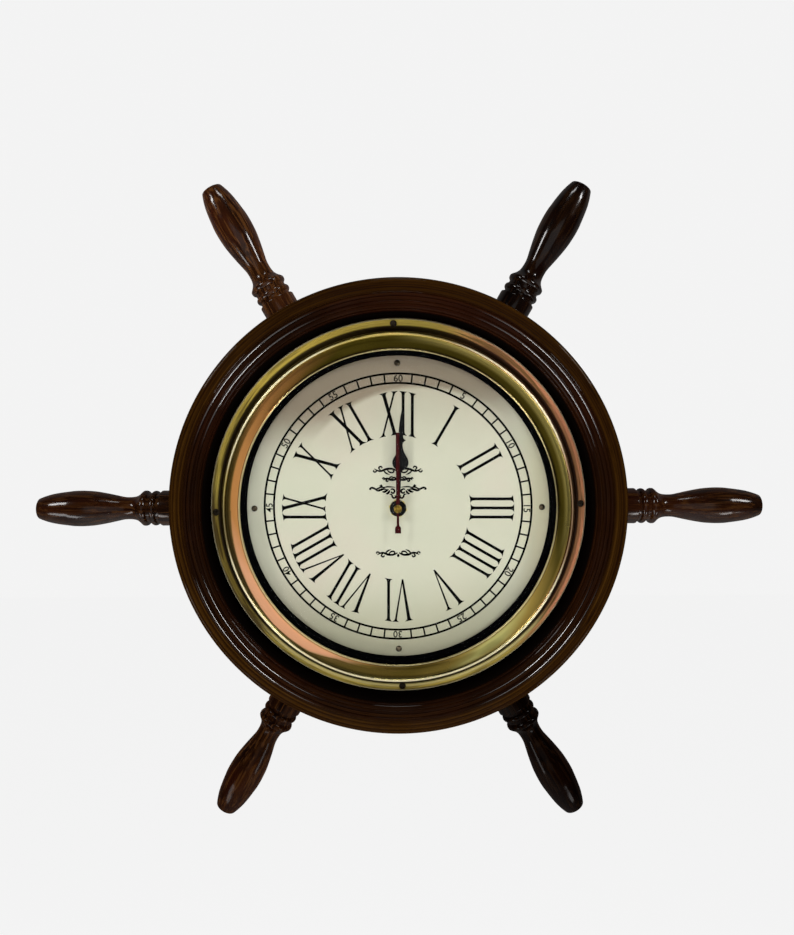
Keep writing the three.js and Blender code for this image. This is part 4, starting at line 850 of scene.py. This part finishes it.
def brass_finish(work):
    vector, x, height, radius, depth = work.wheel_spot()
    right, top = x / radius, height / radius
    patch = work.noise(vector, 16, 4, 0.6)
    drift = patch * 0.4 - 0.2

    def turned_marks(pace, fineness, *detail):
        """Noise drawn out round the wheel."""
        return work.noise(work.joined(right * pace, top * pace, radius * fineness), 1, *detail)

    def between(low, high):
        """0 at the first radius and 1 at the second, in millimetres."""
        return work.span(radius, low * MM, high * MM)

    def towards(across, up, low, high, waver=0):
        """Grows to one side of the wheel, its edge as wavy as the patches."""
        return work.span(right * across + top * up + drift * waver, low, high)

    gold = work.ramp(patch, (0.3, (0.72, 0.5, 0.072)), (0.7, (0.86, 0.66, 0.125)))
    streak = work.span(turned_marks(1.6, 260, 3), 0.5, 0.62)
    # Painted light on the flange: a copper pink reflection to the right, painted shade at the lower left and
    # on the inner half at the right, and at the bottom painted shade on the outer half beside a bright gold
    # painted highlight on the inner half; the dark turned streaks are the brass's own.
    shade_lower_left = towards(-0.94, -0.34, 0.88, 0.97, 0.2)
    shade = towards(0.966, -0.259, 0.5, 0.95, 0.2) * between(115, 113.4)
    under = towards(0.05, -0.98, 0.55, 0.75, 0.5)
    flange = work.layered(
        gold,
        (towards(0.98, 0.21, 0.4, 0.72, 1) * 0.9, (0.9, 0.34, 0.18)),
        (streak * 0.75 + shade_lower_left * 0.75 + shade * 0.6, (0.13, 0.085, 0.016)),
        (under * between(114.5, 115.1) * 0.4, (0.1, 0.08, 0.018)),
        (under * between(114.5, 113.9) * 0.8, (0.92, 0.78, 0.31)),
        (between(115.9, 116.3) * 0.7, PAINTED_HIGHLIGHT))
    # Painted reflections colour the cove round the ring: copper from the upper left to the left, rose at the
    # lower left, brown and warm gold at the bottom, a pale gold patch at the lower right, and olive from the
    # right over the top.
    turn = work.maths("ARCTAN2", top, right) / math.tau + 0.5
    painted_reflections = work.ramp(turn + drift * 0.1 + (radius - 0.1013) * 5, (0, COPPER), (0.05, ROSE),
                       (0.17, ROSE), (0.205, BROWN_GOLD), (0.26, BROWN_GOLD), (0.3, WARM_GOLD),
                       (0.335, PALE_GOLD), (0.36, PALE_GOLD), (0.395, WARM_GOLD), (0.46, OLIVE_GOLD),
                       (0.81, OLIVE_GOLD), (0.9, COPPER))
    sweep = work.span(turned_marks(2.4, 110, 2), 0.46, 0.62) * towards(0.97, 0.24, -0.75, -0.25)
    blush = towards(-0.91, -0.42, 0.4, 0.8, 1)
    rise = work.ramp(turn, *[(position, (value,) * 3) for position, value in BLUSH_EDGE])
    above = work.span(radius - rise * 0.01, 0.0968, 0.0978)
    pale = towards(0.79, -0.61, 0.74, 1, 1)
    # Over them: darker turned streaks on the left; painted reflection round the rose patch, darker outside it
    # and copper at its inner edge; warm brown painted edges to the pale patch; bright gold painted reflection
    # near the ridge at the upper right.
    cove = work.layered(
        painted_reflections,
        (sweep * 0.5, (0.12, 0.088, 0.01)),
        (above * blush * 0.9, (0.17, 0.12, 0.026)),
        (between(99, 97.9) * blush * 0.8, (0.62, 0.3, 0.09)),
        ((between(99.2, 98) + between(103.2, 104.4)) * pale * 0.6, (0.36, 0.24, 0.055)),
        (between(100.5, 104.8) * towards(0.8, 0.6, 0.55, 0.9) * 0.85, (0.75, 0.6, 0.17)))
    # Painted highlight along the ridge, pale and less metallic, faint at the top and at both sides.
    quiet = work.span(top, 0.88, 0.97) + work.span(right, 0.9, 0.98) + work.span(right * -1, 0.95, 0.99)
    ridge = between(106.7, 106.4) * between(105.4, 105.7)
    shining = ridge * (1.0 - quiet * 0.75)
    # Painted shade: dark on the steep wall, on the groove's floor, at the foot of the ridge on the lower
    # left, and at the step before the lip.
    wall = between(106.7, 107) * between(109.2, 108.8)
    hollow = between(105.5, 105.3) * between(104.2, 104.6) * towards(-0.8, -0.6, -0.3, 0.3)
    bottom = work.span(depth * -1000, 27, 24.6) * between(112.9, 112)
    step = between(97.4, 97.6) * between(98.2, 97.9)
    satin = (blush * (1.0 - above) + pale * 0.7) * between(105.1, 104.7)
    sheet = between(111.2, 111.7)
    return {
        # Base colour: the flange, then the cove, the painted highlight on the ridge, painted shade on the
        # wall and at the ridge's foot, a painted highlight on the lip, and painted shade in the groove and at
        # the lip's step.
        "Base Color": work.layered(
            flange,
            (between(105.3, 104.9), cove),
            (shining, PAINTED_HIGHLIGHT),
            (wall * 0.9, (0.05, 0.03, 0.01)),
            (hollow * 0.85, (0.075, 0.065, 0.018)),
            (between(97.5, 97.3), (0.62, 0.52, 0.26)),
            (bottom * 0.95 + step * 0.6, (0.016, 0.008, 0.005))),
        "Metallic": 1.0 - sheet * 0.8 - satin * 0.4 - shining * 0.35,
        "Roughness": (patch * 0.1 + bottom * 0.35 + wall * 0.2 + satin * 0.25 + sheet * 0.12 + ridge * 0.06
                      + 0.2),
        "Specular IOR Level": 0.2,
        "Normal": work.bump(turned_marks(0.3, 3200, 3, 0.6, depth * 3200), 0.00001, 0.1,
                            work.bump(patch, 0.0001, 0.1)),
    }


bezel_outline = [
    (BEZEL_RADIUS, BEZEL_BACK), (BEZEL_RADIUS, 24),
    *curve([(116.75, 24.35), (116.3, 24.72), (115.7, 24.72), (115.1, 24.5), (114.5, 24.38), (113.9, 24.45),
            (113.3, 24.52), (112.7, 24.3), (112.2, 23.9), (111.7, 23.6)], 3),
    (111.5, 23.6), (109.5, 23.6), (109, 23.75), (108.7, 24.4), (108.4, 26), (108.3, 30), (108.15, 32.5),
    (107.7, 33.9), (107.2, 34.85), *arc((106.1, 35.1), 0.9, 15, 165, 12), (105.05, 35.1), (104.8, 34.98),
    (104.4, 34.92),
    *curve([(104.1, 34.75), (103, 34.35), (101.4, 34), (100, 33.88), (98.7, 33.9), (97.9, 34)], 4),
    (97.65, 34.1), *arc((97, 34.3), 0.5, 60, 180, 6), (96.5, 33.6), (96.7, 33.45), (103.9, 33.45),
    (104.6, 34), (105.4, 34.2), (106.3, 34.1), (107, 33.6), (107.25, 32.5), (107.25, 30), (107.45, 26),
    (107.9, 23.4), (108.4, BEZEL_BACK)]
holes = bmesh.new()
for k in range(4):
    a = math.radians(BEZEL_SCREW_START + 90 * k)
    hole_x, hole_y = BEZEL_SCREW_CIRCLE * math.cos(a), BEZEL_SCREW_CIRCLE * math.sin(a)
    turning(holes, [(0, 26.5), (2.4, 26.5), (2.4, 24.1), (1.3, 23), (1.3, 21), (0, 21)], 24,
            lambda x, y, height: place(hole_x + x, hole_y + y, height))
bezel = carved(turned(bezel_outline, 256), as_mesh(holes))
finished("spun_bezel", bezel, finish("spun_brass", brass_finish), ["bezel"], sharp=40)
bezel_screw = raised(slotted_head(2.1, 1.1, 11, 0, 0.55, 0.6, crossed=True), 24.1)
ring_of_screws("bezel_screws", bezel_screw, 4, BEZEL_SCREW_CIRCLE, BEZEL_SCREW_START, 5, screw_brass)

# The movement is a bought quartz one in a black moulded case, held by the nut on its bush. The battery lies
# along the bottom, open to the back, and a white knob sets the hands.


def moulded(name, dark, light, rough):
    def build(work):
        vector = work.spot()
        texture = work.noise(vector, 2200, 2)
        return {
            "Base Color": work.ramp(work.noise(vector, 60, 3), (0.3, dark), (0.7, light)),
            "Roughness": texture * 0.12 + rough,
            "Normal": work.bump(texture, 0.00006, 0.35),
        }
    return finish(name, build)


def cell_finish(work):
    vector = work.spot()
    along, _, _ = work.parts(vector)
    scuff = work.noise(vector, 300, 4)
    tin = work.span(along, 0.0236, 0.0238)
    return {
        "Base Color": work.layered(
            (0.028, 0.045, 0.075),
            (work.span(along, 0.0128, 0.0132), (0.5, 0.3, 0.12)),
            (tin, (0.6, 0.6, 0.58)),
            (work.span(scuff, 0.62, 0.8) * 0.4, (0.4, 0.4, 0.4))),
        "Metallic": tin * 0.9 + 0.1,
        "Roughness": scuff * 0.2 + 0.25,
    }


def winding_finish(work):
    turns = work.node("ShaderNodeTexWave", {"bands_direction": "Z"},
                      {"Vector": work.spot(), "Scale": 1600, "Distortion": 0.4}, output="Fac")
    return {
        "Base Color": work.ramp(turns, (0.2, (0.16, 0.035, 0.012)), (0.8, (0.45, 0.13, 0.045))),
        "Metallic": 0.9,
        "Roughness": turns * 0.2 + 0.3,
        "Normal": work.bump(turns, 0.00008, 0.6),
    }


def circuit_finish(work):
    lanes = work.node("ShaderNodeTexVoronoi", {"feature": "DISTANCE_TO_EDGE"},
                      {"Vector": work.spot(), "Scale": 420.0})
    return {
        "Base Color": work.mixed(work.span(lanes, 0.1, 0.04), (0.012, 0.06, 0.02), (0.035, 0.14, 0.05)),
        "Roughness": lanes * 0.2 + 0.4,
    }


dressed(moulded("black_moulding", (0.006, 0.006, 0.007), (0.014, 0.014, 0.014), 0.45), "movement_case",
        "rear_cover")
dressed(moulded("white_moulding", (0.6, 0.58, 0.52), (0.72, 0.71, 0.66), 0.4), "third_wheel", "centre_wheel",
        "second_wheel", "intermediate_wheel", "hour_wheel", "motion_wheel", "setting_knob", "middle_plate")
dressed(moulded("black_rubber", (0.01, 0.01, 0.01), (0.022, 0.021, 0.02), 0.75), "gasket")
dressed(zinc_steel, "stator", "rotor", "quartz_crystal", "battery_contact_plus", "battery_contact_minus")
dressed(finish("enamelled_copper_winding", winding_finish), "coil")
dressed(finish("green_circuit_board", circuit_finish), "circuit_board")
dressed(screw_brass, "cannon_pinion")

cell_outline = [(0, -25.1), (4.2, -25.1), (4.4, -24.9), (6.6, -24.9), (7, -24.5), (7, 23.4), (6.6, 24),
                (6.2, 24.05), (6, 23.85), (2.9, 23.85), (2.6, 24.1), (2.6, 24.9), (2.4, 25.1), (0, 25.1)]
_, cell_y, cell_z = [(low + high) / 2 for low, high in zip(*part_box("battery"))]
cell = turned(cell_outline, 48, lambda x, y, height: Vector((height * MM, x * MM + cell_y, y * MM + cell_z)))
finished("aa_cell", cell, finish("plain_cell_sleeve", cell_finish), ["battery"], "battery")

# The nut and washer on the bush, then the three hands: a lacquered spade for the hours, a spear for the
# minutes, and a dark red second hand with a paddle, pressed on under a brass cap.
HAND_SHEET = 0.4
HOUR_LEVEL = 26.75
MINUTE_LEVEL = 28.05
SECOND_LEVEL = 29.35
HOUR_TURN = 3.0
MINUTE_TURN = 2.5
SECOND_TURN = -0.4
NUT_TURN = math.radians(47)
BUSH = 4.2

washer_outline = [(BUSH, 23.9), (5, 23.9), (5.15, 24), (5.15, 24.15), (5, 24.25), (BUSH, 24.25)]
finished("brass_washer", turned(washer_outline, 48), screw_brass, ["washer"])


def on_bush(x, y, height):
    """A point of the nut, as far as it was tightened."""
    c, s = math.cos(NUT_TURN), math.sin(NUT_TURN)
    return place(x * c - y * s, x * s + y * c, height)


def bright_brass_finish(work):
    vector, _, _, radius, _ = work.wheel_spot()
    # Painted highlight: beyond 4.9 mm, on the nut's corners, the brass is pale gold and less metallic.
    highlight_zone = work.span(radius, 0.0047, 0.0051)
    wear = work.noise(vector, 620, 3)
    tarnished = work.ramp(wear, (0.42, (0.06, 0.036, 0.006)), (0.62, (0.23, 0.15, 0.026)))
    return {
        "Base Color": work.mixed(highlight_zone, tarnished, (0.6, 0.48, 0.14)),
        "Metallic": 1.0 - highlight_zone * 0.6,
        "Roughness": wear * 0.2 + 0.25,
        "Normal": work.bump(wear, 0.00004, 0.3),
    }


bright_brass = finish("bright_turned_brass", bright_brass_finish)
hexagon = turned([(BUSH, 24.4), (5.77, 24.4), (5.77, 26.2), (BUSH, 26.2)], 6, on_bush)
chamfer = turned([(0, 24), (5.35, 24.4), (5.85, 24.75), (5.85, 25.85), (5.35, 26.2), (0, 26.6)], 48)
finished("hexagon_nut", carved(hexagon, chamfer, "INTERSECT"), bright_brass, ["hex_nut"])


def boss(inside, outside, level):
    """The outline of a hand's round boss, with faint turned rings on it."""
    top = level + HAND_SHEET
    step = (outside - inside) / 5
    return [(inside, level), (outside - 0.1, level), (outside, level + 0.1), (outside, top + 0.02),
            (outside - 0.15, top + 0.12), (inside + 3 * step, top + 0.12), (inside + 2.8 * step, top + 0.06),
            (inside + 2.2 * step, top + 0.06), (inside + 2 * step, top + 0.12), (inside, top + 0.12)]


def hand(name, body, half, level, turn, eased, centre, steps, material):
    """A hand from its right-hand side, tip last: an edge-eased sheet, turned clockwise, and its boss."""
    outline = half + [(-x, y) for x, y in reversed(half) if x > 0]
    inner = [(x * 0.86, y) for x, y in outline]
    top = level + HAND_SHEET
    rows = (inner, level), (outline, level + eased), (outline, top - eased), (inner, top)
    shape = bmesh.new()
    capped(shape, [[shape.verts.new(place(*outwards(x, y, turn), height)) for x, y in corners]
                   for corners, height in rows])
    turning(shape, centre, steps)
    finished(name, as_mesh(shape), material, [body + "_hand"], body)


def lacquer(name, dark, light):
    return grained(name, (700, 3), (0.3, dark), (0.7, light), (0.15, 0.32), (0.00003, 0.3),
                   {"Specular IOR Level": 0.06})


black_lacquer = lacquer("black_hand_lacquer", (0.001, 0.001, 0.0012), (0.003, 0.003, 0.003))
red_lacquer = lacquer("dark_red_hand_lacquer", (0.022, 0.0012, 0.0016), (0.05, 0.0022, 0.003))
hour_side = [
    (0.95, 4), (0.95, 23.4),
    *[(5.0 * math.sin(a), 28.5 - 5.0 * math.cos(a)) for a in [math.radians(14 + 9 * i) for i in range(11)]],
    *curve([(4.55, 30.9), (3.1, 33.2), (1.9, 35.2), (1.15, 37.2), (0.75, 39.2), (0, 41)], 4)[1:]]
minute_side = [
    (0.95, 3.5), (0.95, 37.5), *curve([(0.95, 37.9), (1.1, 39.8), (1.7, 41.3), (3, 42.4)], 3),
    *curve([(3, 42.4), (1.6, 43.4), (1.2, 44.9)], 3)[1:], (1.7, 47), (1.62, 49.5), (1.35, 53.5), (0.85, 58),
    (0.3, 61), (0, 61.2)]
second_side = [(1.9, -15.2), (1.84, -11.9), (1.6, -11.3), (1.1, -10.8), (0.76, -10.1), (0.72, -1), (1.08, 1),
               (1.08, 46), (0.7, 47)]
hand("spade_hour_hand", "hour", hour_side, HOUR_LEVEL, HOUR_TURN, 0.06, boss(2.75, 5.1, HOUR_LEVEL), 64,
     black_lacquer)
hand("spear_minute_hand", "minute", minute_side, MINUTE_LEVEL, MINUTE_TURN, 0.06,
     boss(1.7, 3.55, MINUTE_LEVEL), 64, black_lacquer)
hand("red_second_hand", "second", second_side, SECOND_LEVEL, SECOND_TURN, 0.05,
     [(0.7, 28.95), (1.15, 28.95), (1.15, 29.36), (0.7, 29.36)], 32, red_lacquer)
cap_outline = [(0, 29.76), (2.45, 29.76), (2.5, 29.85), (2.45, 30.2), (2.25, 30.4), (2, 30.45), (1.8, 30.3),
               (1.5, 30.3), (1.3, 30.5), (0.7, 30.62), (0, 30.65)]
finished("second_hand_cap", turned(cap_outline, 48), bright_brass, body="second")

# The studio is a pale floor in a pale room, with soft lamps at the corners, overhead and in front. The room
# is lit for the camera and the glass, and nearly dark for the polished metal.
PALE = (0.8985, 0.8985, 0.8985, 1)
MIRRORED = 0.2
FLOOR = -1.7
WHEEL = place(0, 0, 0)
JUST_OFF_AXIS = 0.001


def background_rays(work, behind):
    """1 for camera and transmission rays, and for glossy ones where they look behind the clock."""
    camera_ray, glass_ray, glossy_ray = work.rays("Camera", "Transmission", "Glossy")
    return work.maths("MAXIMUM", work.maths("MAXIMUM", camera_ray, glass_ray), glossy_ray * behind * MIRRORED)


def floor_surface(work):
    _, depth, _ = work.parts(work.spot())
    matt = work.node("ShaderNodeBsdfDiffuse", (), {"Color": (0.8, 0.8, 0.8, 1)})
    lit = work.node("ShaderNodeEmission", (), {"Color": PALE, "Strength": 1.09})
    return work.node("ShaderNodeMixShader", (), {
        0: background_rays(work, work.span(depth, -0.2, 0.8)) * 0.905, 1: matt, 2: lit})


floor = bpy.data.meshes.new("studio_floor")
floor.from_pydata([(-6, -6, FLOOR), (6, -6, FLOOR), (6, 6, FLOOR), (-6, 6, FLOOR)], [], [(0, 1, 2, 3)])
floor.materials.append(made_of("pale_floor", floor_surface))
piece = standing("studio_floor", floor)

world = bpy.data.worlds.new("studio")
bpy.context.scene.world = world
world.use_nodes = True
sky = Work(world.node_tree)
_, rearward, _ = sky.parts(sky.node("ShaderNodeTexCoord", output="Generated"))
dim = sky.node("ShaderNodeBackground", (), {"Color": (0.8, 0.8, 0.8, 1), "Strength": 0.035})
plain = sky.node("ShaderNodeBackground", (), {"Color": PALE, "Strength": 1.0})
sky.node("ShaderNodeOutputWorld", (), {"Surface": sky.node("ShaderNodeMixShader", (), {
    0: background_rays(sky, sky.span(rearward, -0.05, 0.3)), 1: dim, 2: plain})})


def lamp(name, x, y, up, width, height, power, glossy=True, spread=180):
    """An area lamp aimed at the wheel, its width running round the wheel's axis."""
    data = bpy.data.lights.new(name, "AREA")
    data.shape = "RECTANGLE"
    data.size = width
    data.size_y = height
    data.energy = power
    data.spread = math.radians(spread)
    light = standing(name, data)
    light.visible_camera = False
    light.visible_glossy = glossy
    light.location = WHEEL + Vector((x, y, up))
    back = Vector((x, y, up)).normalized()
    along = Vector((0, 1, 0)).cross(back).normalized()
    light.rotation_euler = Matrix((along, back.cross(along), back)).transposed().to_euler()


lamp("left_low_strip", -1.18, -1.08, -1.07, 0.92, 0.32, 9.5)
lamp("right_low_strip", 1.07, -1.08, -1.19, 0.5, 0.32, 6)
lamp("left_high_softbox", -1.45, -1.08, 0.95, 0.42, 0.24, 10.5)
lamp("right_high_softbox", 1.45, -1.08, 0.95, 0.42, 0.24, 11.5)
lamp("ceiling_softbox", 0, -0.75, 1.6, 0.42, 0.2, 4)
lamp("front_softbox", JUST_OFF_AXIS, -2.6, 0, 1.9, 1.9, 5.5)
lamp("front_fill", JUST_OFF_AXIS, -2.7, 0, 1.8, 1.8, 18, glossy=False)
lamp("back_fill_left", -2.4, 1.9, 0.9, 1.6, 1.6, 26, glossy=False, spread=70)
lamp("back_fill_right", 2.4, 1.9, 0.9, 1.6, 1.6, 26, glossy=False, spread=70)

# The camera stands 434 mm before the dial, 55 mm above its centre, and looks slightly down. Its lens is that
# of the photograph, 700 pixels long for a picture 935 pixels high.
CAMERA_SPOT = Vector((2.5, -434.4 - DIAL_FRONT, 54.9 - CENTRE_BELOW_HANGER)) * MM
CAMERA_YAW = -0.39
CAMERA_PITCH = -3.91
CAMERA_ROLL = -0.34
SENSOR = 36

lens = bpy.data.cameras.new("camera")
lens.sensor_width = SENSOR
lens.sensor_fit = "AUTO"
lens.lens = 700 / 935 * SENSOR
lens.clip_start = 0.01
lens.clip_end = 60
camera = standing("camera", lens)
bpy.context.scene.camera = camera
turns = ((-CAMERA_YAW, "Z"), (90 + CAMERA_PITCH, "X"), (CAMERA_ROLL, "Z"))
yaw, pitch, roll = [Matrix.Rotation(math.radians(angle), 4, axis) for angle, axis in turns]
camera.matrix_world = Matrix.Translation(CAMERA_SPOT) @ yaw @ pitch @ roll
bpy.context.scene.view_settings.view_transform = "Standard"
